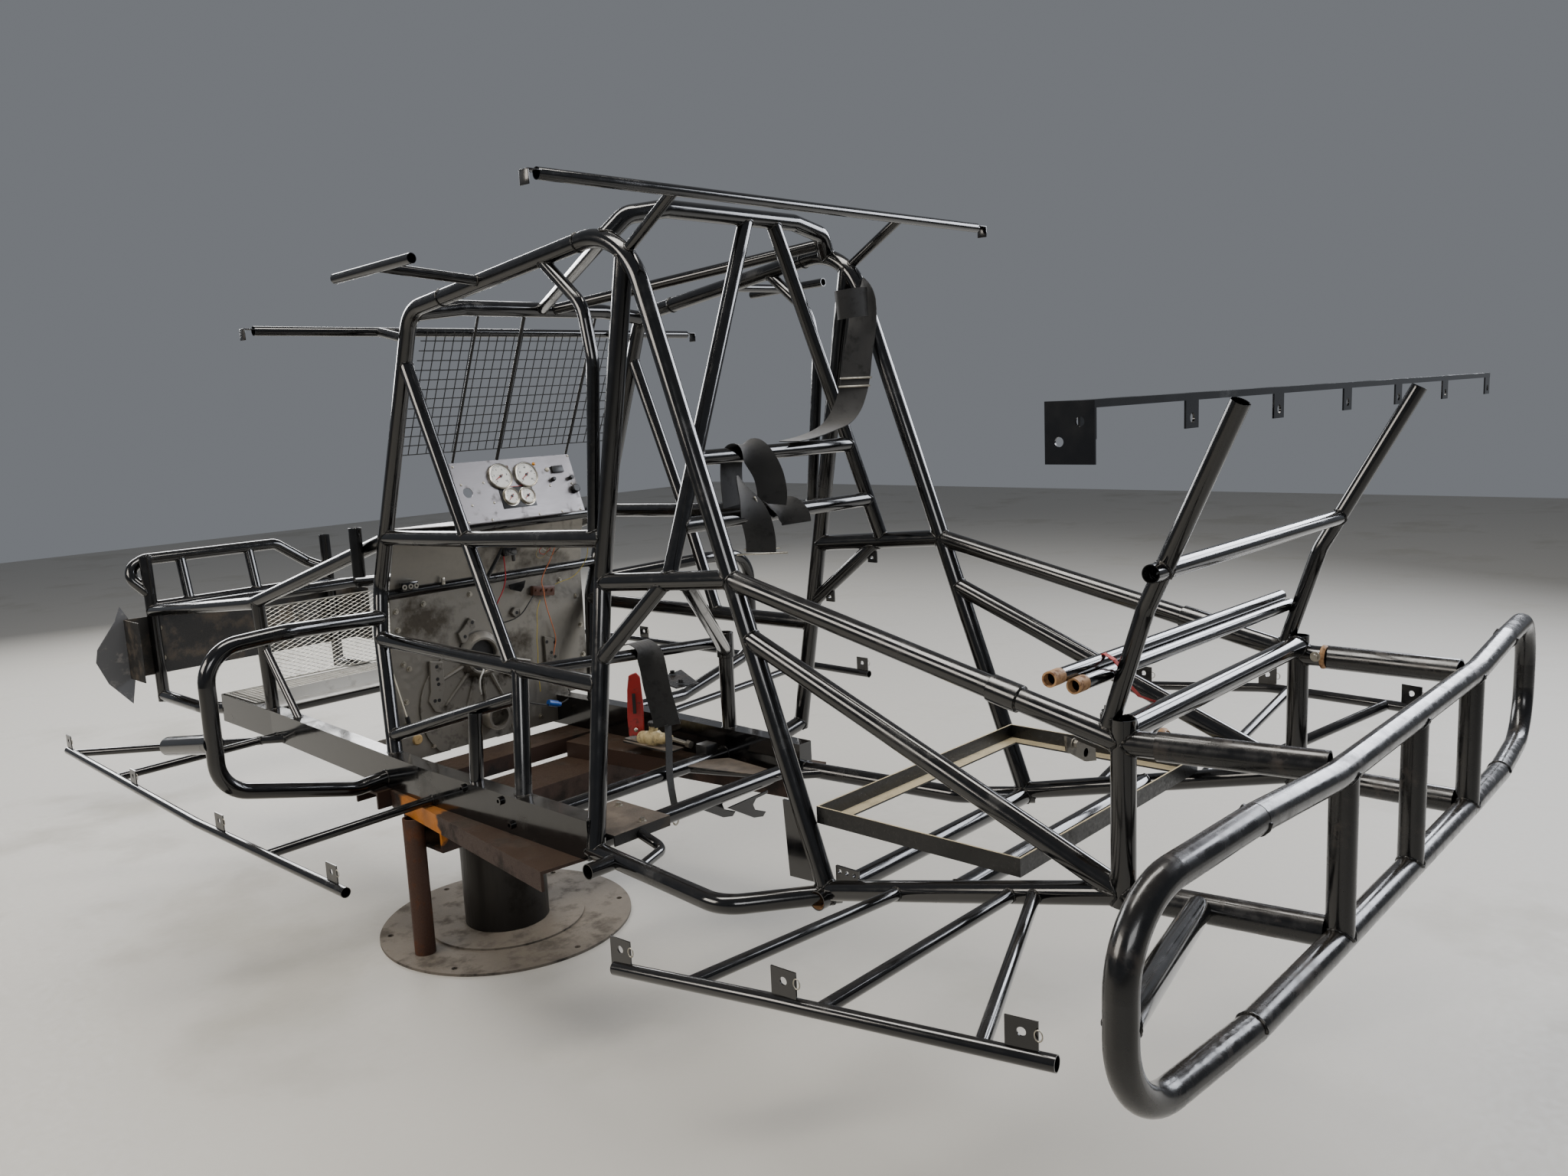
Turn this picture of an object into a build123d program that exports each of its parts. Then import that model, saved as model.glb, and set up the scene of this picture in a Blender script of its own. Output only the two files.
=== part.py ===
from build123d import *

# Bare tube chassis of a dirt-track stock car, standing on an in-floor lift.
# Millimetres, +Z up, -Y is the car's front, +X its left side.
# X = 0 is the middle plane of the roll cage, Z = 0 the workshop floor, Y = 0 half way
# between the two bumpers. Heights written as h are above the underside of the frame rails.

import math
import os
from typing import NamedTuple

# Place of the car on its lift
RIDE = 470.0
FRONT_TO_CAGE = 350.0

# Tube stock: outside diameters and walls
MAIN_OD = 44.45
MAIN_WALL = 2.4
BRACE_OD = 38.1
BRACE_WALL = 2.1
LIGHT_OD = 31.75
LIGHT_WALL = 1.65
SKIN_OD = 25.4
SKIN_WALL = 1.65
SOCKET_OD = 54.0
SOCKET_WALL = 4.0
SLEEVE_WALL = 4.0
SEAT_GAP = 0.3
WELD_GAP = 0.2

# Bend radii
PILLAR_BEND = 90.0
REAR_HOOP_BEND = 180.0
GUARD_BEND = 100.0
BUMPER_BEND = 120.0
SMALL_BEND = 50.0
LONG_BEND = 400.0

# Frame rails
RAIL_W = 50.8
RAIL_H = 101.6
RAIL_WALL = 3.0
FRAME_MID_X = 150.0
RAIL_HALF_REAR = 386.6
RAIL_HALF_FIREWALL = 332.6
RAIL_HALF_NOSE = 324.6
RAIL_REAR_Y = 915.0
RAIL_TAPER_Y = 150.0
RAIL_ENGINE_Y = -900.0
RAIL_NOSE_Y = -1320.0

# Roll cage
CAGE_HALF = 423.0
ROOF_HALF = 400.0
BROW_Y = 98.0
BROW_H = 1377.0
ROOF_FRONT_Y = 260.0
ROOF_FRONT_H = 1398.5
ROOF_REAR_Y = 1000.0
ROOF_REAR_H = 1497.0
BOW_H = 1551.0
SHIN_Y = -215.0
SHIN_H = 572.0
WAIST_H = 727.0
DOOR_BAR_H = 418.0
B_KNEE_Y = 850.0
B_KNEE_H = 660.0
C_FOOT_Y = 1546.0
C_FOOT_H = 24.0
REAR_WAIST_H = 697.0
BELT_BAR_HIGH = 955.0
BELT_BAR_LOW = 800.0

# Front end
POST_Y = -1830.0
POST_TOP_H = 590.0
POST_LEAN = 15.0
POST_HALF = 369.0
UPPER_RAIL_KNEE_Y = -960.0
UPPER_RAIL_KNEE_H = 472.0
HOOP_Y = -1890.0
HOOP_H = 572.0
NOSE_BAR_H = 388.0
NOSE_LOW_H = 116.0
NOSE_HIGH_H = 350.0
NOSE_LEFT_X = 620.0
NOSE_RIGHT_X = -330.0
NOSE_RETURN = 150.0
SHEET = 3.0
FLAP_SHEET = 4.0
UPRIGHT_Y = -930.0
TRAY_FRONT_Y = -1040.0
TRAY_DEPTH = 90.0
TRAY_H = 92.0
TRAY_LIP = 43.0

# Rear clip and bumper
CLIP_HALF = 410.0
CLIP_END_Y = 2240.0
CLIP_TOP_H = 500.0
CLIP_LOW_H = 206.0
BUMPER_Y = 2590.0
BUMPER_TOP_H = 485.0
BUMPER_LOW_H = 206.0
BUMPER_RUN = 700.0
BUMPER_HALF = 1035.0
ARM_WALL = 3.0
ARM_BARE = 60.0
ARM_STUB = 150.0

# Deck frame above the rear clip
DECK_HALF = 966.0
DECK_H = 1055.0
DECK_DEPTH = 27.0
DECK_THICK = 10.0
DECK_TAB_W = 40.0
DECK_TAB_DROP = 48.0

# Tabs that carried the body panels, and the gusset at the left rear pillar's foot
TAB_W = 50.0
TAB_RISE = 58.0
TAB_STEEL = 3.0
TAB_HOLE_R = 7.0
EAR_W = 30.0
EAR_DROP = 46.0
GUSSET_STEEL = 6.0

# Bars that carried the roof skin
ROOF_BAR_REAR_HALF = 768.0
ROOF_BAR_FRONT_HALF = 789.0

# Body side supports and side guard bars
SUPPORT_X = 1044.0
GUARD_X = 1028.0

# Platform inside the left rail's rear end
PLATFORM_H = 50.0
PLATFORM_THICK = 8.0
PLATFORM_FLANGE_Y = 953.0
PLATFORM_FLANGE = 4.0

# Sheet metal of the cockpit
FIREWALL_Y = -205.0
FIREWALL_SHEET = 6.0
BELL_R = 165.0
BELL_H = 150.0
DASH_Y = -36.0
DASH_LEAN = -72.0
DASH_TOP_H = 935.0
DASH_LEFT_X = 215.0
DASH_RIGHT_X = -241.0
DASH_LIP_Y = -173.0
DASH_HOLE_R = 17.0
GAUGE_R = 43.0
GAUGE_HOLE_R = 39.5
SMALL_GAUGE_R = 28.0
SMALL_HOLE_R = 24.5
SCREEN_FOOT = 1.1

# Wire screens
MESH_BAR = 5.0
MESH_THICK = 4.0
MESH_COLUMNS = 11
MESH_ROWS = 7
DIAMOND_COLUMNS = 11
DIAMOND_ROWS = 5

# Fuel cell cradle
CRADLE_HALF = 392.0
CRADLE_FRONT_Y = 1510.0
CRADLE_REAR_Y = 2020.0
CRADLE_LEG = 38.0
CRADLE_STEEL = 4.0

# Lift below the rails
CHANNEL_W = 203.0
CHANNEL_H = 51.0
CHANNEL_STEEL = 8.0
CHANNEL_L = 895.0
CHANNEL_YAW = 7.25
CHANNEL_HALF = 368.0
CHANNEL_Y = 440.0
CROSS_BEAM_Y = -92.0
CROSS_BEAM_W = 130.0
BOLSTER_W = 200.0
BOLSTER_H = 100.0
BOLSTER_STEEL = 10.0
RAM_X = 280.0
RAM_Y = 106.0
RAM_D = 254.0
RAM_WALL = 16.0
LEG_X = 575.0
LEG_Y = 118.0
LEG_D = 60.0
LEG_WALL = 6.0
COLLAR_D = 470.0
COLLAR_THICK = 14.0
FLANGE_D = 760.0
FLANGE_THICK = 8.0
FLANGE_HOLES = 6
FLANGE_HOLE_R = 9.0
FLANGE_EDGE = 32.0


def at(x: float, y: float, h: float) -> Vector:
    """A point of the car, with h above the underside of the frame rails."""
    return Vector(x, y - FRONT_TO_CAGE, h + RIDE)


def shifted(point: Vector, x: float = 0.0, y: float = 0.0, h: float = 0.0) -> Vector:
    """The point moved by x, y and h."""
    return point + Vector(x, y, h)


def right_of(point: Vector) -> Vector:
    """The point's mirror image across the middle plane of the cage."""
    return Vector(-point.X, point.Y, point.Z)


def across_frame(point: Vector) -> Vector:
    """The point's mirror image across the middle plane of the frame rails."""
    return Vector(2 * FRAME_MID_X - point.X, point.Y, point.Z)


def at_height(low: Vector, high: Vector, h: float) -> Vector:
    """The point of a straight tube, from low to high, that lies at height h."""
    share = (h + RIDE - low.Z) / (high.Z - low.Z)
    return low + (high - low) * share


def at_length(front: Vector, rear: Vector, y: float) -> Vector:
    """The point of a straight tube, from front to rear, that lies at y."""
    share = (y - FRONT_TO_CAGE - front.Y) / (rear.Y - front.Y)
    return front + (rear - front) * share


def rail_x(y: float) -> float:
    """How far the middle of a frame rail lies from the middle plane of the rails at y."""
    stations = (
        (RAIL_REAR_Y, RAIL_HALF_REAR),
        (RAIL_TAPER_Y, RAIL_HALF_REAR),
        (RAIL_ENGINE_Y, RAIL_HALF_FIREWALL),
        (RAIL_NOSE_Y, RAIL_HALF_NOSE),
    )
    for (y1, x1), (y2, x2) in zip(stations, stations[1:]):
        if y2 <= y <= y1:
            return x1 + (x2 - x1) * (y - y1) / (y2 - y1)
    return stations[0][1] if y > RAIL_REAR_Y else stations[-1][1]


def on_rail(side: int, y: float, h: float) -> Vector:
    """A point in the middle of the left (side 1) or right (side -1) frame rail."""
    return at(FRAME_MID_X + side * rail_x(y), y, h)


# Hard points of the left pillars and of the tubes that several others meet
A_FOOT = on_rail(1, -30, RAIL_H / 2)
A_KNEE = at(450, -190, 435)
A_SHIN = at(CAGE_HALF, SHIN_Y, SHIN_H)
A_BROW = at(CAGE_HALF, BROW_Y, BROW_H)
A_TOP = at(CAGE_HALF - 5, ROOF_FRONT_Y, ROOF_FRONT_H)
A_FOOT_RIGHT = on_rail(-1, -45, RAIL_H / 2)
A_KNEE_RIGHT = at(-360, -190, 435)
C_TOP = at(ROOF_HALF, ROOF_REAR_Y, ROOF_REAR_H)
C_FOOT = at(ROOF_HALF + 5, C_FOOT_Y, C_FOOT_H)
ROOF_END = at_length(A_TOP, C_TOP, 840)
B_TOP = at(ROOF_HALF, ROOF_REAR_Y, ROOF_REAR_H - 62)
B_KNEE = at(CLIP_HALF, B_KNEE_Y, B_KNEE_H)
B_FOOT = at(545, 925, 30)
B_FOOT_RIGHT = at(-CLIP_HALF - 8, 736, 80)
WAIST = at_height(A_SHIN, A_BROW, WAIST_H)
WAIST_MID = shifted(WAIST, x=-10, y=455, h=15)
WAIST_END = at_height(B_KNEE, B_TOP, WAIST_H + 43)
REAR_WAIST_END = at_height(C_FOOT, C_TOP, REAR_WAIST_H)
DOOR_BAR_FRONT = at_height(A_FOOT, A_KNEE, DOOR_BAR_H)
DOOR_BAR_REAR = at_height(B_FOOT, B_KNEE, DOOR_BAR_H - 4)
DOOR_BAR_FRONT_RIGHT = at_height(A_FOOT_RIGHT, A_KNEE_RIGHT, DOOR_BAR_H)
DOOR_BAR_REAR_RIGHT = at_height(B_FOOT_RIGHT, right_of(B_KNEE), DOOR_BAR_H - 4)
DOOR_CROSSING = at_length(WAIST, WAIST_MID, 268)
DOOR_LOW_LEFT = at_length(DOOR_BAR_FRONT, DOOR_BAR_REAR, 505)
DOOR_LOW_RIGHT = at_length(DOOR_BAR_FRONT_RIGHT, DOOR_BAR_REAR_RIGHT, 418)
DOOR_POST_TOP = at_length(DOOR_BAR_FRONT, DOOR_BAR_REAR, 540)
DOOR_POST_FOOT = on_rail(1, 620, RAIL_H / 2)
HEADER_LEFT = at(CAGE_HALF - 1, BROW_Y + 9, BROW_H - 9)
HEADER_MID = at(260, BROW_Y + 4, BROW_H + 10)
BOW_FOOT = at(ROOF_HALF, 930, ROOF_REAR_H - 23)
BOW_SHOULDER = at(350, 955, BOW_H - 23)
BOW_MID = at(230, 960, BOW_H)
SEAT_POST_Y = 605.0
SEAT_POST_TOP_H = 395.0
SEAT_POST_TOP = on_rail(-1, SEAT_POST_Y, SEAT_POST_TOP_H)
SLEEVE_LOW_H = 323.0

# Hard points of the front end
POST_FOOT = at(FRAME_MID_X + POST_HALF, POST_Y, 10)
POST_TOP = at(FRAME_MID_X + POST_HALF, POST_Y - POST_LEAN, POST_TOP_H)
UPPER_FRONT = at_height(POST_FOOT, POST_TOP, UPPER_RAIL_KNEE_H - 100)
UPPER_SHOULDER = at(FRAME_MID_X + POST_HALF, -1400, UPPER_RAIL_KNEE_H - 50)
UPPER_KNEE = at(FRAME_MID_X + POST_HALF - 22, UPPER_RAIL_KNEE_Y, UPPER_RAIL_KNEE_H)
UPPER_END = at_height(A_SHIN, A_BROW, WAIST_H - 6)
UPPER_KNEE_RIGHT = across_frame(UPPER_KNEE)
NOSE_BAR_LEFT = at_height(POST_FOOT, POST_TOP, NOSE_BAR_H)
HOOP_FOOT = at_height(POST_FOOT, POST_TOP, 440)
HOOP_BULGE = at(590, HOOP_Y, 530)
HOOP_LEFT = at(510, HOOP_Y, HOOP_H)
HOOP_RIGHT = at(-20, HOOP_Y, HOOP_H)
HOOP_DROP = at(-150, HOOP_Y, 480)

# Hard points of the rear end
CLIP_FRONT = at(540, 900, MAIN_OD / 2)
CLIP_BEND = at(586, 1400, MAIN_OD / 2)
CLIP_TIP = at(380, 1560, MAIN_OD / 2)
CLIP_FRONT_RIGHT = at(-237, 900, MAIN_OD / 2)
CLIP_BEND_RIGHT = at(-300, 1400, MAIN_OD / 2)
CLIP_TIP_RIGHT = at(-414, 1566, MAIN_OD / 2)
LOWER_FRONT = at(CLIP_HALF - 4, C_FOOT_Y - 2, C_FOOT_H + 8)
LOWER_REAR = at(CLIP_HALF, CLIP_END_Y, CLIP_LOW_H)
UPPER_REAR = at(CLIP_HALF, CLIP_END_Y, CLIP_TOP_H - 20)
CLIP_POST_TOP = at(CLIP_HALF, CLIP_END_Y, CLIP_TOP_H + MAIN_OD / 2)
CLIP_POST_FOOT = at(CLIP_HALF, CLIP_END_Y, CLIP_LOW_H - MAIN_OD / 2)
DIAGONAL_TOP = at_height(C_FOOT, C_TOP, 570)
ARM_TOP_END = at(372, BUMPER_Y - 22, BUMPER_TOP_H)
ARM_LOW_END = at(372, BUMPER_Y - 22, BUMPER_LOW_H + 7)
DECK_FOOT = at(CLIP_HALF, CLIP_END_Y - 34, CLIP_TOP_H - 18)
DECK_KNEE = at(CLIP_HALF, CLIP_END_Y + 41, CLIP_TOP_H + 218)
DECK_TOP = at(456, CLIP_END_Y + 214, DECK_H)


class Tube(NamedTuple):
    """One tube: its piece, outside diameter, wall, bend radius and centre line."""

    node: str
    od: float
    wall: float
    bend: float
    path: tuple


def main(node: str, *path: Vector, bend: float = PILLAR_BEND) -> Tube:
    """A tube of the main cage stock."""
    return Tube(node, MAIN_OD, MAIN_WALL, bend, path)


def brace(node: str, *path: Vector, bend: float = PILLAR_BEND) -> Tube:
    """A tube of the brace stock."""
    return Tube(node, BRACE_OD, BRACE_WALL, bend, path)


def light(node: str, *path: Vector, bend: float = PILLAR_BEND) -> Tube:
    """A tube of the light stock."""
    return Tube(node, LIGHT_OD, LIGHT_WALL, bend, path)


def skin(node: str, *path: Vector, bend: float = LONG_BEND) -> Tube:
    """A tube of the stock that carries the body skin."""
    return Tube(node, SKIN_OD, SKIN_WALL, bend, path)


def socket(node: str, *path: Vector) -> Tube:
    """An open socket that another tube slides into."""
    return Tube(node, SOCKET_OD, SOCKET_WALL, 0.0, path)


def both_sides(build, node: str, *path: Vector, **sizes) -> list[Tube]:
    """The same tube on the left and, mirrored, on the right of the cage."""
    return [build(node, *path, **sizes), build(node, *map(right_of, path), **sizes)]


def both_frame_sides(build, node: str, *path: Vector, **sizes) -> list[Tube]:
    """The same tube on the left and, mirrored, on the right of the frame rails."""
    return [build(node, *path, **sizes), build(node, *map(across_frame, path), **sizes)]


def cage_tubes() -> list[Tube]:
    """The roll cage, each tube coped to the ones before it."""
    guard_root = at_height(A_KNEE, A_SHIN, 482)
    guard_root_right = at_height(A_KNEE_RIGHT, right_of(A_SHIN), 482)
    guard_loop = (at(800, -62, 513), at(GUARD_X, -60, 500), at(GUARD_X, -60, 118), at(646, -60, 20))
    knee_left = at_height(A_KNEE, A_SHIN, 545)
    knee_right = at_height(A_KNEE_RIGHT, right_of(A_SHIN), 545)
    leg_top = at(-50, 960, BOW_H)
    leg_top_right = at(-146, 960, BOW_H)
    leg_foot = at_length(B_KNEE, REAR_WAIST_END, 1090)
    bars = []
    for h in (BELT_BAR_HIGH, BELT_BAR_LOW):
        left = at_height(leg_foot, leg_top, h)
        right = at_height(right_of(leg_foot), leg_top_right, h)
        bars.append(brace("cage_cross_tubes", left, right))
    return [
        main("a_pillars", A_FOOT, A_KNEE, A_SHIN, A_BROW, A_TOP),
        main("a_pillars", A_FOOT_RIGHT, A_KNEE_RIGHT, *map(right_of, (A_SHIN, A_BROW, A_TOP))),
        *both_sides(main, "c_pillars", ROOF_END, C_TOP, C_FOOT, bend=REAR_HOOP_BEND),
        *both_sides(main, "roof_rails", A_TOP, ROOF_END),
        main("b_pillars", B_TOP, B_KNEE, B_FOOT),
        main("b_pillars", right_of(B_TOP), right_of(B_KNEE), B_FOOT_RIGHT),
        main("cage_cross_tubes", HEADER_LEFT, HEADER_MID, right_of(HEADER_MID), right_of(HEADER_LEFT)),
        main(
            "cage_cross_tubes",
            BOW_FOOT,
            BOW_SHOULDER,
            BOW_MID,
            right_of(BOW_MID),
            right_of(BOW_SHOULDER),
            right_of(BOW_FOOT),
            bend=SMALL_BEND,
        ),
        light("roof_braces", shifted(HEADER_MID, x=-282), at_length(BOW_FOOT, BOW_SHOULDER, 936)),
        light(
            "roof_braces",
            shifted(HEADER_MID, x=-320),
            right_of(at_length(BOW_FOOT, BOW_SHOULDER, 945)),
        ),
        *both_sides(main, "waist_bars", WAIST, WAIST_MID, WAIST_END, bend=LONG_BEND),
        *both_sides(
            light,
            "window_frame_tubes",
            at_length(A_TOP, ROOF_END, 690),
            at(408, 845, 1330),
            at(410, 872, 1200),
            at_length(WAIST_MID, WAIST_END, 827),
            bend=GUARD_BEND,
        ),
        main("door_mid_bars", DOOR_BAR_FRONT, DOOR_BAR_REAR),
        main("door_mid_bars", DOOR_BAR_FRONT_RIGHT, DOOR_BAR_REAR_RIGHT),
        *both_sides(brace, "door_diagonals", at_height(A_SHIN, A_BROW, 1240), DOOR_CROSSING),
        brace("door_diagonals", DOOR_CROSSING, DOOR_LOW_LEFT),
        brace("door_diagonals", right_of(DOOR_CROSSING), DOOR_LOW_RIGHT),
        main("rail_posts", DOOR_POST_TOP, DOOR_POST_FOOT),
        brace("stub_sockets", on_rail(1, 405, RAIL_H / 2), at(515, 395, 285)),
        brace(
            "side_braces",
            at_height(A_FOOT, A_KNEE, 145),
            at_height(DOOR_POST_FOOT, DOOR_POST_TOP, 345),
        ),
        *both_sides(main, "waist_bars", B_KNEE, REAR_WAIST_END),
        brace(
            "side_braces", at_height(B_FOOT, B_KNEE, 471), at_length(B_KNEE, REAR_WAIST_END, 1080)
        ),
        brace(
            "side_braces",
            at_height(B_FOOT_RIGHT, right_of(B_KNEE), 480),
            right_of(at_length(B_KNEE, REAR_WAIST_END, 1075)),
        ),
        light("cage_cross_tubes", knee_left, knee_right),
        brace("cage_cross_tubes", WAIST, right_of(WAIST)),
        brace("seat_back_legs", leg_top, leg_foot),
        brace("seat_back_legs", leg_top_right, right_of(leg_foot)),
        *bars,
        main(
            "side_guard_bars", guard_root, *guard_loop, on_rail(1, -60, 30), bend=GUARD_BEND
        ),
        main(
            "side_guard_bars",
            guard_root_right,
            *map(right_of, guard_loop),
            on_rail(-1, -60, 30),
            bend=GUARD_BEND,
        ),
        socket("stub_sockets", at(GUARD_X, -60, 250), at(GUARD_X + 2, -372, 192)),
    ]


def seat_tubes() -> list[Tube]:
    """The post, its sleeve and the tubes that carried the seat."""
    sleeve_bore = MAIN_OD + 2 * SEAT_GAP
    sleeve_od = sleeve_bore + 2 * SLEEVE_WALL
    sleeve_low = on_rail(-1, SEAT_POST_Y, SLEEVE_LOW_H)
    cross_root = on_rail(-1, SEAT_POST_Y, SEAT_POST_TOP_H - 25)
    return [
        main("rail_posts", on_rail(-1, SEAT_POST_Y, RAIL_H / 2), SEAT_POST_TOP),
        Tube("rail_posts", sleeve_od, SLEEVE_WALL, 0.0, (sleeve_low, SEAT_POST_TOP)),
        light(
            "rail_cross_members",
            cross_root,
            at_length(DOOR_BAR_FRONT, DOOR_BAR_REAR, SEAT_POST_Y - 20),
        ),
        brace(
            "side_braces",
            at_length(B_KNEE, REAR_WAIST_END, 1142),
            on_rail(-1, SEAT_POST_Y, SLEEVE_LOW_H + 18),
        ),
    ]


def front_tubes() -> list[Tube]:
    """Everything ahead of the firewall."""
    upright_top = at_length(UPPER_KNEE, UPPER_END, UPRIGHT_Y)
    upright_foot = on_rail(1, UPRIGHT_Y, RAIL_H / 2)
    upright_top_right = at_length(UPPER_KNEE_RIGHT, right_of(UPPER_END), UPRIGHT_Y)
    upright_foot_right = on_rail(-1, UPRIGHT_Y, RAIL_H / 2)
    lower_root = on_rail(1, RAIL_NOSE_Y + 10, 45)
    lower_bend = at(FRAME_MID_X + POST_HALF - 4, -1480, 32)
    lower_tip = at(FRAME_MID_X + POST_HALF, POST_Y, 32)
    tubes = [
        *both_frame_sides(main, "front_posts", POST_FOOT, POST_TOP),
        *both_frame_sides(main, "front_subframe_tubes", lower_root, lower_bend, lower_tip),
        main("front_upper_rails", UPPER_FRONT, UPPER_SHOULDER, UPPER_KNEE, UPPER_END, bend=150),
        main(
            "front_upper_rails",
            across_frame(UPPER_FRONT),
            across_frame(UPPER_SHOULDER),
            UPPER_KNEE_RIGHT,
            right_of(UPPER_END),
            bend=150,
        ),
        main("front_uprights", upright_foot, upright_top),
        main("front_uprights", upright_foot_right, upright_top_right),
        skin("side_braces", at_height(upright_foot, upright_top, 325), on_rail(1, -674, RAIL_H / 2)),
        main(
            "front_subframe_tubes",
            at_length(UPPER_FRONT, UPPER_SHOULDER, -1590),
            across_frame(at_length(UPPER_FRONT, UPPER_SHOULDER, -1590)),
        ),
        main("front_subframe_tubes", NOSE_BAR_LEFT, across_frame(NOSE_BAR_LEFT)),
        main(
            "front_hoop",
            HOOP_FOOT,
            HOOP_BULGE,
            HOOP_LEFT,
            HOOP_RIGHT,
            HOOP_DROP,
            across_frame(HOOP_FOOT),
            bend=SMALL_BEND,
        ),
    ]
    for x in (372, 97):
        low = Vector(x, NOSE_BAR_LEFT.Y, NOSE_BAR_LEFT.Z)
        tubes.append(brace("front_uprights", at(x, HOOP_Y, HOOP_H), low))
    stub = at_length(UPPER_KNEE, UPPER_END, -245)
    beside = (MAIN_OD + BRACE_OD) / 2 + SEAT_GAP
    low = shifted(stub, x=beside, h=-85)
    tubes.append(brace("stub_sockets", low, shifted(low, h=150)))
    return tubes


def rear_tubes() -> list[Tube]:
    """The rear clip, its bumper and the frame that carried the rear deck."""
    collar_front = at_length(REAR_WAIST_END, UPPER_REAR, 1975)
    collar_rear = at_length(REAR_WAIST_END, UPPER_REAR, 2035)
    sleeve_od = MAIN_OD + 2 * SEAT_GAP + 2 * SLEEVE_WALL
    run_top = (at(-BUMPER_RUN, BUMPER_Y - 10, BUMPER_TOP_H + 15), at(-420, BUMPER_Y, BUMPER_TOP_H))
    run_low = (at(-BUMPER_RUN, BUMPER_Y - 10, BUMPER_LOW_H - 11), at(-420, BUMPER_Y, BUMPER_LOW_H))
    corner_top = at(BUMPER_HALF, BUMPER_Y - 35, BUMPER_TOP_H + 5)
    corner_low = at(BUMPER_HALF, BUMPER_Y - 35, BUMPER_LOW_H - 6)
    tubes = [
        main("clip_tubes", CLIP_FRONT, CLIP_BEND, CLIP_TIP),
        main("clip_tubes", CLIP_FRONT_RIGHT, CLIP_BEND_RIGHT, CLIP_TIP_RIGHT),
        *both_sides(main, "clip_posts", CLIP_POST_TOP, CLIP_POST_FOOT),
        main("clip_cross_tubes", UPPER_REAR + Vector(0, 0, 20), right_of(UPPER_REAR) + Vector(0, 0, 20)),
        *both_sides(main, "clip_lowers", LOWER_FRONT, LOWER_REAR),
        *both_sides(main, "clip_uppers", REAR_WAIST_END, UPPER_REAR),
        *both_sides(
            lambda node, *path: Tube(node, sleeve_od, SLEEVE_WALL, 0.0, path),
            "clip_uppers",
            collar_front,
            collar_rear,
        ),
        *both_sides(main, "clip_diagonals", DIAGONAL_TOP, LOWER_REAR),
        main("clip_cross_tubes", at(CLIP_HALF, C_FOOT_Y, 22), at(-CLIP_HALF, C_FOOT_Y, 22)),
        main(
            "clip_cross_tubes",
            at_length(LOWER_FRONT, LOWER_REAR, 1885),
            right_of(at_length(LOWER_FRONT, LOWER_REAR, 1885)),
        ),
        main("bumper_runs", *run_top, *map(right_of, reversed(run_top)), bend=LONG_BEND),
        main("bumper_runs", *run_low, *map(right_of, reversed(run_low)), bend=LONG_BEND),
        *both_sides(
            main,
            "bumper_ends",
            right_of(run_top[0]),
            corner_top,
            corner_low,
            right_of(run_low[0]),
            bend=BUMPER_BEND,
        ),
    ]
    for x in (372, 0, -385):
        tubes.append(main("bumper_uprights", at(x, BUMPER_Y, BUMPER_TOP_H), at(x, BUMPER_Y, BUMPER_LOW_H)))
    arm_od = MAIN_OD + 2 * SEAT_GAP + 2 * ARM_WALL
    for start, end, right_x in (
        (UPPER_REAR, ARM_TOP_END, -385),
        (LOWER_REAR, ARM_LOW_END, -388),
    ):
        end_right = Vector(right_x, end.Y, end.Z)
        for root, tip in ((start, end), (right_of(start), end_right)):
            stub_tip = at_length(root, tip, CLIP_END_Y + ARM_STUB)
            sleeve_root = at_length(root, tip, CLIP_END_Y + ARM_BARE)
            tubes.append(main("clip_posts", root, stub_tip))
            tubes.append(Tube("bumper_arms", arm_od, ARM_WALL, 0.0, (sleeve_root, tip)))
    brace_root = LOWER_REAR + (ARM_LOW_END - LOWER_REAR) * 0.4
    tubes.append(main("side_braces", brace_root, at(BUMPER_HALF, BUMPER_Y - 35, BUMPER_LOW_H + 130)))
    tubes += both_sides(light, "deck_posts", DECK_FOOT, DECK_KNEE, DECK_TOP)
    cross = at_height(DECK_KNEE, DECK_TOP, 785)
    tubes.append(light("deck_cross_tubes", shifted(cross, x=45), right_of(cross)))
    tied = at_height(DECK_FOOT, DECK_KNEE, 596)
    off_post = (LIGHT_OD + SKIN_OD) / 2 + SEAT_GAP + 1.5
    low = shifted(tied, y=-off_post)
    high = shifted(low, y=-0.72 * (SKIN_OD + SEAT_GAP), h=0.72 * (SKIN_OD + SEAT_GAP))
    for start, left_x, right_x in ((low, 529, -430), (high, 575, -425)):
        left = Vector(left_x, start.Y, start.Z + 4)
        tubes.append(skin("deck_cross_tubes", left, Vector(right_x, start.Y, start.Z - 10)))
    return tubes


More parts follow.
